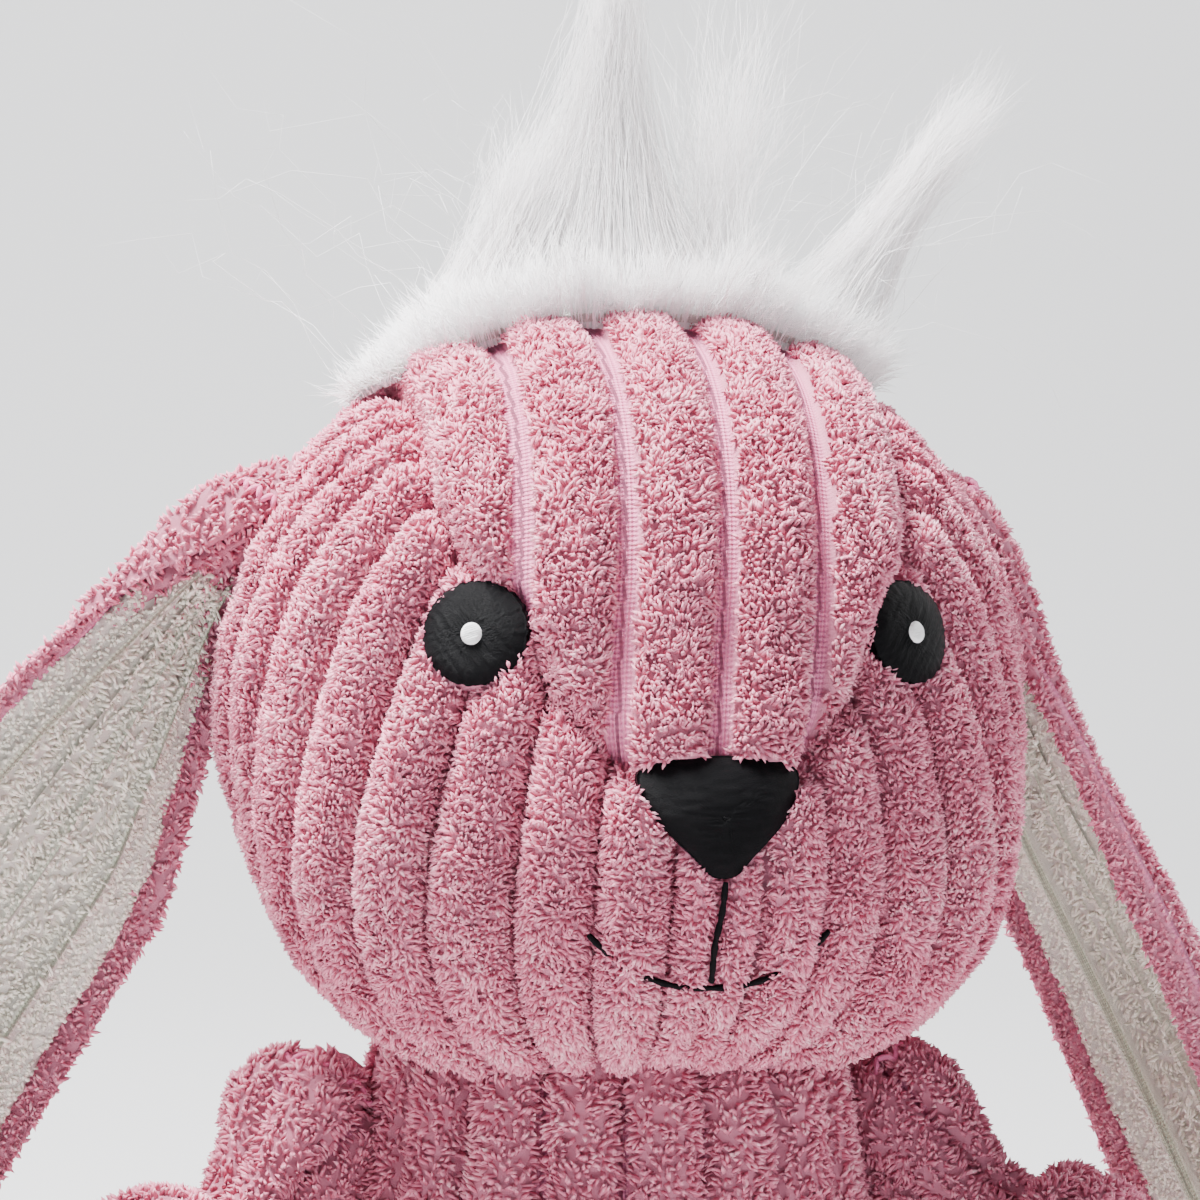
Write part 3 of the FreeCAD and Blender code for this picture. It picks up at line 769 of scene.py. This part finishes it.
def build_torso():
    """The torso: upright ribs, gathered a little at the seat, with a slack, slightly uneven outline."""
    rows, columns = ((230, 400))
    heights = even_ends(0.0, 171.0, rows)
    radius = bead_radius((SEAT_BEAD, SHOULDER_BEAD), heights)
    seat = np.linspace(0.05, 1.0, 14, endpoint=False) * radius[0]
    heights = np.concatenate([np.zeros(14), heights])
    radius = np.concatenate([seat, radius])
    angle = np.linspace(0, 2 * math.pi, columns, endpoint=False)
    upright = np.outer(heights, np.ones(columns))
    points = np.stack([np.outer(radius, np.sin(angle)), -np.outer(radius, np.cos(angle)), upright], -1)
    sag = 1.6 * np.exp(-(((heights - 38) / 30) ** 2))[:, None] + 0 * angle
    points = points.reshape(-1, 3)
    slack = soft_noise(points, 34.0, 31) * 1.3 * smoothstep(0, 18, points[:, 2])
    outward = unit(points * np.array([1.0, 1, 0]))
    points = points + outward * (slack + sag.reshape(-1) * smoothstep(0, 12, points[:, 2]))[:, None]
    turns = np.tile(angle * 18 / (2 * math.pi) + 0.5, len(heights))
    rib = 2 * (turns - np.floor(turns)) - 1
    sideways = np.tile(np.stack([np.cos(angle), np.sin(angle), angle * 0], -1), (len(heights), 1))
    along = np.repeat(np.cumsum(np.concatenate([[0], np.hypot(np.diff(heights), np.diff(radius))])), columns)
    side_seam = np.abs(points[:, 1]) + 1e3 * (np.abs(points[:, 0]) < 20)
    crease = 1.8 * np.exp(-((side_seam / 1.8) ** 2))
    bottom, top = np.array([[0.0, 0, 0.0]]), np.array([[0.0, 0, 171.0]])
    points = np.concatenate([bottom, points, top])

    def pad(values):
        return np.concatenate([values[:1], values, values[-1:]])

    lift = np.where(points[:, 2] < 0.5, GROUND_INSET, 0.0)
    return Surface(points, capped_triangles(len(heights), columns), pad(rib), pad(sideways), pad(along),
                   crease=pad(crease), lift=lift, share=0.86)


def finish_cloth(name, surface, body, material, pile, density, nodes=(), slot="pink_plush", fill=0.7,
                 keep=None, seam=None, **nubs):
    """Makes one stuffed piece: its ribbed cover, which stands for the CAD nodes, and the pile on it.

    seam is the two places about a piece sewn to the head; given one, the cover and its pile ride on no body and
    have their places baked into their meshes.
    """
    cover = surface.cover(name, material)
    join(cover, body, seam)
    if nodes:
        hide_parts(*nodes)
    for piece in grow_pile(f"{name}_pile", surface, body, pile, density, keep=keep, seam=seam, **nubs):
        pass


def build_limb(name, side, pivot, aim, beads, ribs, droop):
    """A stuffed tube with a round root, a knot part way along it and a closed, gathered end."""
    pivot, aim = pivot * np.array([side, 1, 1]), unit(aim * np.array([side, 1, 1]))
    knot_at, knot_radius = beads[2]
    core = list(beads)
    core[0] = (0.0, beads[0][1] + ROOT_BULK)
    core[2] = (knot_at, knot_radius * 0.52)
    rows, around = ((210, 120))
    end = beads[-1][0] + beads[-1][1]
    at = even_ends(-beads[0][1], end, rows)
    fall = droop * (np.maximum(at, 0) / end) ** 2
    path = pivot + aim * at[:, None] - np.array([0, 0, 1.0]) * fall[:, None]
    radius = bead_radius(core, at)
    surface = tube(path, radius, around, ribs, turn=0.4 * side)
    word = "left" if side > 0 else "right"
    label = f"{name}_{word}"
    surface.lift = 0.9 * soft_noise(surface.points, 13.0, 41)
    surface.raise_ribs(3.0)
    nodes = [f"{label}_{part}" for part in ("cover", "liner", "filling")]
    density, nub_size = (1.2, 1.1) if name == "arm" else (0.5, 1.6)

    def outside_torso(points):
        return (points - pivot) @ aim > -0.6 * beads[0][1]

    finish_cloth(f"{label}_cloth", surface, label, PINK_CLOTH, PINK_PILE, density, nodes,
                 keep=outside_torso, size=nub_size)

    strand = knot_radius * 0.47
    reach = knot_radius - strand
    middle = pivot + aim * knot_at - np.array([0, 0, droop * (knot_at / end) ** 2])
    first = unit(np.cross(aim, [0.0, 0, 1.0]))
    second = np.cross(aim, first)
    for wrap, tilt in enumerate((math.radians(34), math.radians(-34))):
        turn = np.linspace(0, 2 * math.pi, 150, endpoint=False)
        over = (1 if wrap == 0 else -1) * 0.20 * np.cos(turn)
        out = reach * (1 + over)
        leaning = second * math.cos(tilt) + aim * math.sin(tilt)
        path = middle + (np.cos(turn) * out)[:, None] * first + (np.sin(turn) * out)[:, None] * leaning
        size = np.full(len(turn), strand) * (1 + 0.06 * np.sin(2 * turn + wrap))
        loop = tube(path, size, 96, 4, closed=True, turn=0.5)
        loop.lift = 0.7 * soft_noise(loop.points, 11.0, 51 + wrap)
        loop.raise_ribs(3.0)
        finish_cloth(f"{label}_knot_{wrap + 1}", loop, label, PINK_CLOTH, PINK_PILE, density, size=nub_size)
    lace(f"{label}_stitching", f"{label}_seam", pivot, aim, beads[0][1] + 1.0, 0.97)


STITCH_STEPS = 15


def lace(node, body, centre, aim, ring_radius, tuck, angle=STITCH_ANGLE, stitches=16):
    """The thread that sews a root on: a closed row of slanted stitches in the crease round the root."""
    turn = np.linspace(0, 2 * math.pi, STITCH_STEPS * stitches, endpoint=False)
    first = unit(np.cross(aim, [0.31, 0.17, 0.93]))
    second = np.cross(aim, first)
    out = tuck * ring_radius * math.sin(angle) + 0.3 * np.cos(2 * stitches * turn)
    rise = ring_radius * math.cos(angle) + 0.8 * np.sin(stitches * turn)
    round_it = (out * np.cos(turn))[:, None] * first + (out * np.sin(turn))[:, None] * second
    path = centre + rise[:, None] * aim + round_it
    thread = tube(path, np.full(len(turn), 0.45), 8, 1, closed=True)
    obj = make_object(f"{node}_thread", thread.points, thread.triangles, [PINK_THREAD])
    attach(obj, body)
    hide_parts(node)


# ------------------------------------------------------------------ ears


def ear_place(pivot, aim, facing, cup, s, y, z):
    """From the ear's own coordinates, with y measured round its cup, to the rabbit's."""
    side = np.cross(facing, aim)
    tight = cup - (cup - EAR_ROOT_CUP) * np.exp(-((np.maximum(s, 0) / 38) ** 2))
    bend = y / tight
    reach = tight - z
    local_y, local_z = reach * np.sin(bend), tight - reach * np.cos(bend)
    drawn_in = np.clip((EAR_TAIL - s) / (2 * EAR_TAIL), 0, 1) ** 2
    pull = EAR_PULL * np.array([np.sign(pivot[0]), 1, 1])
    middle = pivot + s[..., None] * aim + drawn_in[..., None] * pull
    return middle + local_y[..., None] * side + local_z[..., None] * facing


def ear_sheet(pivot, aim, facing, cup, shift, beads, s, share, back, front, wave=1.2):
    """A flattened closed sleeve that follows the ear: back and front are how far it stands each side."""
    around = 150
    half = bead_radius(beads, s) * share
    turn = np.linspace(0, 2 * math.pi, around, endpoint=False)
    across = np.sign(np.cos(turn)) * np.abs(np.cos(turn)) ** 0.75
    stand = np.sign(np.sin(turn)) * np.abs(np.sin(turn)) ** 0.55
    y = np.outer(half, across)
    thick = np.where(stand < 0, back[:, None], front[:, None]) * stand
    s_grid = np.repeat(s, around).reshape(y.shape)
    z = thick + wave * np.sin(s_grid / 23 + y / 15) * smoothstep(20, 80, s_grid)
    moved = y + shift * smoothstep(10, 60, s_grid)
    points = ear_place(pivot, aim, facing, cup, s_grid, moved, z).reshape(-1, 3)
    sideways = np.tile(np.cross(facing, aim), (len(points), 1))
    turns = np.tile(2 * across + 0.5, len(s))
    rib = 2 * (turns - np.floor(turns)) - 1
    first = ear_place(pivot, aim, facing, cup, s[:1], np.zeros(1), np.zeros(1))[0]
    last = ear_place(pivot, aim, facing, cup, s[-1:], np.full(1, shift), np.zeros(1))[0]
    groove = np.tile(np.where(across < -0.5, 0.76, CLOSED_GROOVE), len(s))
    pad = [np.concatenate([values[:1], values, values[-1:]])
           for values in (rib, sideways, s_grid.reshape(-1), groove)]
    points = np.concatenate([first[None], points, last[None]])
    return Surface(points, capped_triangles(len(s), around), *pad[:3], share=pad[3])


def build_ear(name, side, aim, turn, cup, shift, beads):
    """An ear: pink outside and round its border, cream lining inside, gathered to a thick stuffed root."""
    pivot = EAR_PIVOT * np.array([side, 1, 1])
    aim = unit(aim)
    facing = np.array([-side * math.cos(math.radians(turn)), -math.sin(math.radians(turn)), 0.0])
    facing = unit(facing - aim * (facing @ aim))
    end = beads[-1][0] + beads[-1][1]
    rows = 250

    s = even_ends(-EAR_TAIL, end - 0.5, rows)
    root = np.exp(-((np.maximum(s, 0) / 22) ** 2)) * smoothstep(-1.4 * EAR_TAIL, -4, s)
    outline = [(-EAR_TAIL + 5.0, 5.0), (0.0, 9.5), *beads]
    pink = ear_sheet(pivot, aim, facing, cup, shift, outline, s, 1.0, 3.6 + 5.0 * root, 2.2 + 6.4 * root)
    pink.raise_ribs(2.8)
    nodes = [f"{name}_outer", f"{name}_wadding"]
    seam = (pivot - aim * EAR_TAIL * 0.8, pivot + aim * 8.0)
    finish_cloth(f"{name}_back", pink, name, PINK_CLOTH, PINK_PILE, 1.0, nodes, fill=0.3, seam=seam)

    s = even_ends(13.0, end - 7.5, rows)
    share = np.clip(1 - 7.0 / np.maximum(bead_radius(beads, s), 7.5), 0.05, 1)
    back, front = np.full(rows, -0.6), np.full(rows, 5.4)
    cream = ear_sheet(pivot, aim, facing, cup, shift, beads, s, share, back, front)
    cream.raise_ribs(3.0)
    nodes = [f"{name}_lining"]
    finish_cloth(f"{name}_front", cream, name, CREAM_CLOTH, CREAM_PILE, 1.3, nodes, "cream_plush", 0.3)
    root = ear_place(pivot, aim, facing, cup, np.array(0.0), np.array(0.0), np.array(0.0))
    lace(f"{name}_root_stitching", "head", root, aim, EAR_ROOT_RING, 0.72)


# ------------------------------------------------------------------ long hair


def grow_hair(name, body, roots, bends, tips, width, segments, curl, materials):
    """Fine three-sided hairs, each a curve from its root towards its bend point and on to its tip."""
    count = len(roots)
    t = np.linspace(0, 1, segments + 1)[None, :, None]
    root, bend, tip = roots[:, None], bends[:, None], tips[:, None]
    path = (1 - t) ** 2 * root + 2 * t * (1 - t) * bend + t**2 * tip
    phase = rng.random((count, 1, 3)) * 2 * math.pi
    rate = 1.5 + 2.5 * rng.random((count, 1, 3))
    path = path + curl * t**1.5 * np.sin(rate * t * 2 * math.pi + phase) - curl * t**1.5 * np.sin(phase)
    ahead = unit(np.gradient(path, axis=1))
    side = unit(np.cross(ahead, unit(rng.normal(size=(count, 1, 3)))))
    other = np.cross(ahead, side)
    thin = width * (1 - 0.75 * t)
    ring = []
    for turn in (0.0, 2 * math.pi / 3, 4 * math.pi / 3):
        ring.append(path + (side * math.cos(turn) + other * math.sin(turn)) * thin)
    rings = np.stack(ring, axis=2)[:, :-1]
    points = np.concatenate([rings.reshape(count, -1, 3), path[:, -1:]], axis=1)
    faces = [(0, 2, 1)]
    for k in range(segments - 1):
        for j in range(3):
            a, b = 3 * k + j, 3 * k + (j + 1) % 3
            faces += [(a, b, b + 3), (a, b + 3, a + 3)]
    for j in range(3):
        faces.append((3 * (segments - 1) + j, 3 * (segments - 1) + (j + 1) % 3, 3 * segments))
    faces = np.array(faces)
    per_hair = 3 * segments + 1
    triangles = (faces[None] + per_hair * np.arange(count)[:, None, None]).reshape(-1, 3)
    tone = np.repeat((rng.random(count) < 0.3).astype(int), len(faces)) if len(materials) > 1 else None
    obj = make_object(name, points.reshape(-1, 3), triangles, materials, tone)
    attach(obj, body)
    return obj


TUFT_HALF_WIDTH = 42.0
TUFT_HALF_DEPTH = 19.0
TUFT_BACK = 6.0


def tuft_roots(count):
    """Random places on the crown inside the tuft's oblong foot, with the head's normal there."""
    x = rng.uniform(-TUFT_HALF_WIDTH, TUFT_HALF_WIDTH, 3 * count)
    y = rng.uniform(-TUFT_HALF_DEPTH, TUFT_HALF_DEPTH, 3 * count)
    beyond = np.maximum(np.abs(x) - (TUFT_HALF_WIDTH - TUFT_HALF_DEPTH), 0)
    inside = np.hypot(beyond, y) < TUFT_HALF_DEPTH
    x, y = x[inside][:count], y[inside][:count] + TUFT_BACK
    starts = np.stack([x, y, x * 0], -1)
    up = np.broadcast_to(np.array([0.0, 0, 1.0]), starts.shape)
    landed = land_on_head(starts, up, 100.0)
    return landed + HEAD, unit(landed * np.array([0.8, 1, 1]))


# Each lock of the tuft: foot across the head, tip (across, back, up) from the crown, spread at the tip,
# and how strongly it draws the hair near it
TUFT_LOCKS = (
    (-15.0, (-10.0, 2.0, 30.0), 9.0, 0.00),
    (0.0, (1.0, -3.0, 68.0), 3.0, 0.34),
    (13.0, (24.0, 4.0, 50.0), 14.0, 0.02),
    (35.0, (68.0, 6.0, 42.0), 5.0, 0.20),
)


def build_tuft():
    """The crown tuft: a bed of short dense fur, then long hair drawn into four locks, and loose strays."""
    foot = np.array([lock[0] for lock in TUFT_LOCKS])
    crown = HEAD + np.array([0.0, TUFT_BACK, SKULL_RADIUS])

    count = 9000
    for batch in range(2):
        roots, normals = tuft_roots(count)
        clump, number = nearest_clump(roots, 6.0, 71 + batch)
        drift = unit(rng.normal(size=roots.shape)) * 3.0
        middle = np.clip(1.1 - np.abs(roots[:, 0] - 8) / TUFT_HALF_WIDTH, 0, 1)
        short = 5 + 4 * rng.random(len(roots))
        extra = (4 + 9 * batch * rng.random(len(roots))) * number * middle
        length = (short + extra)[:, None]
        length = length * (0.35 + 0.65 * smoothstep(-38, -24, roots[:, :1]))
        level = np.zeros(len(roots))
        behind = roots[:, 1] - HEAD[1] - TUFT_BACK
        lean = np.stack([(roots[:, 0] - HEAD[0]) * 0.010, behind * 0.03, level], -1)
        tips = roots + unit(normals + lean) * length + (clump - roots) * np.array([0.5, 0.5, 0]) + drift
        grow_hair(f"tuft_underfur_{batch + 1}", "head", roots - normals, roots + normals * length * 0.5, tips,
                  0.13, 3, 1.0, FUR)

    count = 4400
    roots, normals = tuft_roots(count)
    want = np.array([lock[3] for lock in TUFT_LOCKS])
    gap = np.abs(roots[:, :1] - foot[None]) / 16 + rng.random((len(roots), len(foot))) * 0.7 - 2.0 * want
    chosen = np.argmin(gap, axis=1)
    targets = np.array([crown + np.array(TUFT_LOCKS[k][1]) for k in range(len(foot))])[chosen]
    level = np.zeros(len(roots))
    feet = np.stack([foot[chosen], level, level], -1) + crown
    spread = np.array([lock[2] for lock in TUFT_LOCKS])[chosen][:, None]
    reach = (0.55 + 0.45 * rng.random(len(roots)))[:, None]
    loose = rng.normal(size=roots.shape) * spread * 0.45
    tips = feet + (targets - feet) * reach + loose
    bends = feet + (targets - feet) * reach * 0.30 + (roots - feet) * 0.22 + normals * 6
    hair = grow_hair("tuft_hair", "head", roots, bends, tips, 0.075, 7, 1.8, FUR)
    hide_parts("tuft_fur")

    count = 70
    roots, normals = tuft_roots(count)
    outward = np.stack([np.sign(roots[:, 0]) * 0.5, np.zeros(len(roots)), np.full(len(roots), 0.15)], -1)
    away = unit(normals + rng.normal(size=roots.shape) * 0.55 + outward)
    length = (32 + 34 * rng.random(len(roots)))[:, None]
    bends, tips = roots + normals * length * 0.4, roots + away * length
    grow_hair("tuft_strays", "head", roots, bends, tips, 0.07, 9, 5.0, FUR[:1])


# ------------------------------------------------------------------ face


def build_face():
    """Eyes with a stitched glint, the nose, and the mouth's stitches."""
    turn = np.linspace(0, 2 * math.pi, 150, endpoint=False)
    frayed = 1 + 0.012 * np.sin(37 * turn) + 0.010 * np.sin(23 * turn + 1.0)
    circle = np.stack([np.cos(turn), np.sin(turn)], -1) * frayed[:, None]
    for side, word in ((1, "left"), (-1, "right")):
        out, right, centre = face_frame(side)
        embroidered_patch(f"eye_{word}_stitched", circle * EYE_OVAL, right, out, centre, 2.4,
                          0.9, 0.9 * side, 0.55, BLACK_THREAD, f"eye_{word}")
        embroidered_patch(f"eye_{word}_spark", circle * GLINT_RADIUS, right, out, centre, 1.5,
                          0.6, 0.3, 0.5, WHITE_THREAD, f"eye_{word}_glint")
    front = np.array([0.0, -1, 0])
    across = np.array([1.0, 0, 0])
    outline = nose_outline(len(turn))
    embroidered_patch("nose_stitched", outline, across, front, np.zeros(3), 1.8,
                      1.2, 0.0, 0.6, BLACK_THREAD, "nose_patch")
    build_mouth(front)


def build_mouth(front):
    """A line of stitches down from the nose and a smile at its foot, half sunk in the pile."""
    low = NOSE_TOP - NOSE_HEIGHT
    lines = {
        "mouth_line": [(0.3, low - 0.5), (0.0, low - 5), (-0.6, low - 10), (-0.4, low - 15.5)],
        "mouth_smile": [(-18.5, low - 8.5), (-13.5, low - 13), (-6.5, low - 16), (0.0, low - 16.6),
                        (6.5, low - 16), (13.5, low - 13), (18.5, low - 8.5)],
    }
    for name, corners in lines.items():
        flat = smooth_path([(x, 0.0, z) for x, z in corners], 160)
        landed = land_on_head(flat, np.broadcast_to(front, flat.shape), 100.0)
        path = landed + HEAD + front * (-2.7 if name == "mouth_smile" else -1.8)
        steps = np.concatenate([[0], np.cumsum(np.linalg.norm(np.diff(path, axis=0), axis=1))])
        size = 0.52 * (0.72 + 0.28 * np.abs(np.sin(math.pi * steps / 3.0)))
        line = tube(path, size, 14, 4)
        obj = make_object(name, line.points, line.triangles, [BLACK_THREAD])
        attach(obj, "head")
        if name == "mouth_smile":
            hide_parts("mouth_stitching")


# ------------------------------------------------------------------ tail


def build_tail():
    rows, around = ((80, 130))
    at = even_ends(-TAIL_RADIUS, TAIL_RADIUS, rows)
    radius = np.sqrt(np.maximum(TAIL_RADIUS**2 - at**2, 0.01))
    path = TAIL_CENTRE + at[:, None] * np.array([0.0, 1, 0])
    ball = tube(path, radius - 2.5, around, 1)
    ball.rib = ball.rib * 0
    ball.lift = 1.2 * soft_noise(ball.points, 7.0, 61)
    ball.raise_ribs(0.0)
    # The tail's nubs take warm fur down their sides and white fur on their tips: painted shade and painted
    # light, as on all pile.
    fur = FUR[::-1] + [FUR[0]]
    finish_cloth("tail_ball", ball, "torso", CREAM_CLOTH, fur, 1.3, ["tail_pompom"], "white_fur", 0.8,
                 size=2.6)


# ------------------------------------------------------------------ the rabbit


def build_rabbit():
    head = build_head()
    nodes = ["head_cover", "head_liner", "head_filling"]
    finish_cloth("head_cloth", head, "head", PINK_CLOTH, PINK_PILE, 2.5, nodes, fill=0.95, keep=front_first)
    build_face()
    torso = build_torso().raise_ribs(4.0)
    nodes = ["torso_cover", "torso_liner", "torso_filling"]
    finish_cloth("torso_cloth", torso, "torso", PINK_CLOTH, PINK_PILE, 1.1, nodes,
                 fill=0.85, size=1.2, keep=below_head)
    neck = np.array([0.0, 0.0, SHOULDER_BEAD[0]])
    upward = np.array([0.0, 0.0, 1.0])
    lace("neck_stitching", "neck_seam", neck, upward, SHOULDER_BEAD[1] + 1.0, 0.97, NECK_SEAM_ANGLE, 48)
    right_ear = ((16.0, 12.0), (66.0, 29.0), (144.0, 34.0))
    left_ear = tuple((at, 0.9 * radius) for at, radius in right_ear)
    build_ear("ear_right", -1, np.array([-0.57, 0.06, -0.82]), 62.0, 44.0, 0.0, right_ear)
    build_ear("ear_left", 1, np.array([0.50, 0.19, -0.85]), 2.0, 20.0, -6.0, left_ear)
    for side in (1, -1):
        build_limb("arm", side, ARM_PIVOT, ARM_AIM, ARM_BEADS, 5, 3.0)
        build_limb("leg", side, LEG_PIVOT, LEG_AIM, LEG_BEADS, 6, 0.0)
    build_tail()
    build_tuft()
    dress_cad_nodes()


def front_first(points):
    """How much of the full pile density each place on the head gets: less at the back and under the neck."""
    p = points - HEAD
    dense = 0.5 + 0.5 * smoothstep(25, -5, p[:, 1])
    hidden = np.linalg.norm(points - np.array([0, 0, SHOULDER_BEAD[0]]), axis=1) < SHOULDER_BEAD[1]
    return np.where(hidden, 0.0, dense)


def below_head(points):
    """Pile only where the torso is out of the head's hollow, and off the flat seat."""
    return (points[:, 2] < 158) & (points[:, 2] > 1.0)


def dress_cad_nodes():
    """Gives every CAD node that still shows a finished material."""
    bulb = new_material("squeaker_bulb", (0.85, 0.85, 0.80), 0.45)
    reed = new_material("squeaker_reed", (0.80, 0.80, 0.83), 0.25)
    backing = ribbed_cloth("backing_cloth", (0.80, 0.76, 0.72), (0.85, 0.82, 0.78), (0.60, 0.56, 0.52))
    looks = {"bulb": bulb, "reed": reed, "stitching": PINK_THREAD, "stitches": PINK_THREAD,
             "backing": backing, "button": backing}
    for node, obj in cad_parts.items():
        material = looks.get(node.split("_")[-1])
        if material is not None:
            obj.data.materials.clear()
            obj.data.materials.append(material)


# ------------------------------------------------------------------ studio


def build_studio():
    """A pale seamless sweep, a large soft light above and behind to the left, and gentle fill."""
    profile = [(-2.6, 0.0), (-1.0, 0.0), (0.6, 0.0), (1.5, 0.0), (2.3, 0.12), (2.9, 0.55),
               (3.2, 1.3), (3.3, 2.4), (3.3, 4.0)]
    line = smooth_path([(0.0, y * 1000, z * 1000) for y, z in profile], 60)
    across = np.linspace(-5000, 5000, 24)
    sheet = (line[:, None] + across[None, :, None] * np.array([1.0, 0, 0])).reshape(-1, 3)
    paper = new_material("seamless_paper", (0.80, 0.80, 0.81), 0.95)
    tree = paper.node_tree
    grain = tree.nodes.new("ShaderNodeTexNoise")
    grain.inputs["Scale"].default_value = 400
    bump = tree.nodes.new("ShaderNodeBump")
    bump.inputs["Strength"].default_value = 0.05
    bump.inputs["Distance"].default_value = 0.0005
    tree.links.new(grain.outputs["Fac"], bump.inputs["Height"])
    tree.links.new(bump.outputs["Normal"], tree.nodes["Principled BSDF"].inputs["Normal"])
    faces = grid_triangles(len(line), len(across), closed=False)[:, ::-1]
    floor = make_object("studio_sweep", sheet, faces, [paper])
    turn_studio(floor)

    world = bpy.data.worlds.new("studio")
    bpy.context.scene.world = world
    world.use_nodes = True
    world.node_tree.nodes["Background"].inputs["Color"].default_value = (0.92, 0.93, 0.96, 1)
    world.node_tree.nodes["Background"].inputs["Strength"].default_value = 0.36
    add_light("key_above_left", (-0.34, -0.06, 1.15), 0.40, 62.0)
    add_light("rim_left", (-0.75, 0.45, 0.70), 0.5, 14.0)
    add_light("rim_right", (0.85, 0.35, 0.75), 0.5, 9.0)
    add_light("backdrop_wash", (0.0, 0.9, 1.5), 1.6, 95.0, towards=(0.0, 3.2, 1.0))


CAMERA_AZIMUTH = math.radians(-13.6)


def turn_studio(obj):
    """Turns the sweep so that its wall stands square behind the rabbit in the main view."""
    obj.rotation_euler = (0, 0, CAMERA_AZIMUTH)


def add_light(name, place, size, power, towards=(0, -0.01, 0.2)):
    data = bpy.data.lights.new(name, "AREA")
    data.shape = "DISK"
    data.size = size
    data.energy = power
    light = bpy.data.objects.new(name, data)
    light.location = place
    light.rotation_euler = (Vector(towards) - Vector(place)).to_track_quat("-Z", "Y").to_euler()
    bpy.context.scene.collection.objects.link(light)


def build_camera():
    """The main view: level with the head, a little to the rabbit's right, with a long lens."""
    distance, width, elevation = 0.95, 0.1896, math.radians(0.5)
    right = Vector((math.cos(CAMERA_AZIMUTH), math.sin(CAMERA_AZIMUTH), 0))
    target = Vector((0, HEAD[1] * MM, 0.2153)) + right * -0.0028
    level = math.cos(elevation)
    back = Vector((math.sin(CAMERA_AZIMUTH) * level, -math.cos(CAMERA_AZIMUTH) * level, math.sin(elevation)))
    data = bpy.data.cameras.new("camera")
    data.sensor_width = 36.0
    data.lens = 36.0 * distance / width
    camera = bpy.data.objects.new("camera", data)
    camera.location = target + back * distance
    camera.rotation_euler = (-back).to_track_quat("-Z", "Y").to_euler()
    bpy.context.scene.collection.objects.link(camera)
    bpy.context.scene.camera = camera


build_rabbit()
build_studio()
build_camera()
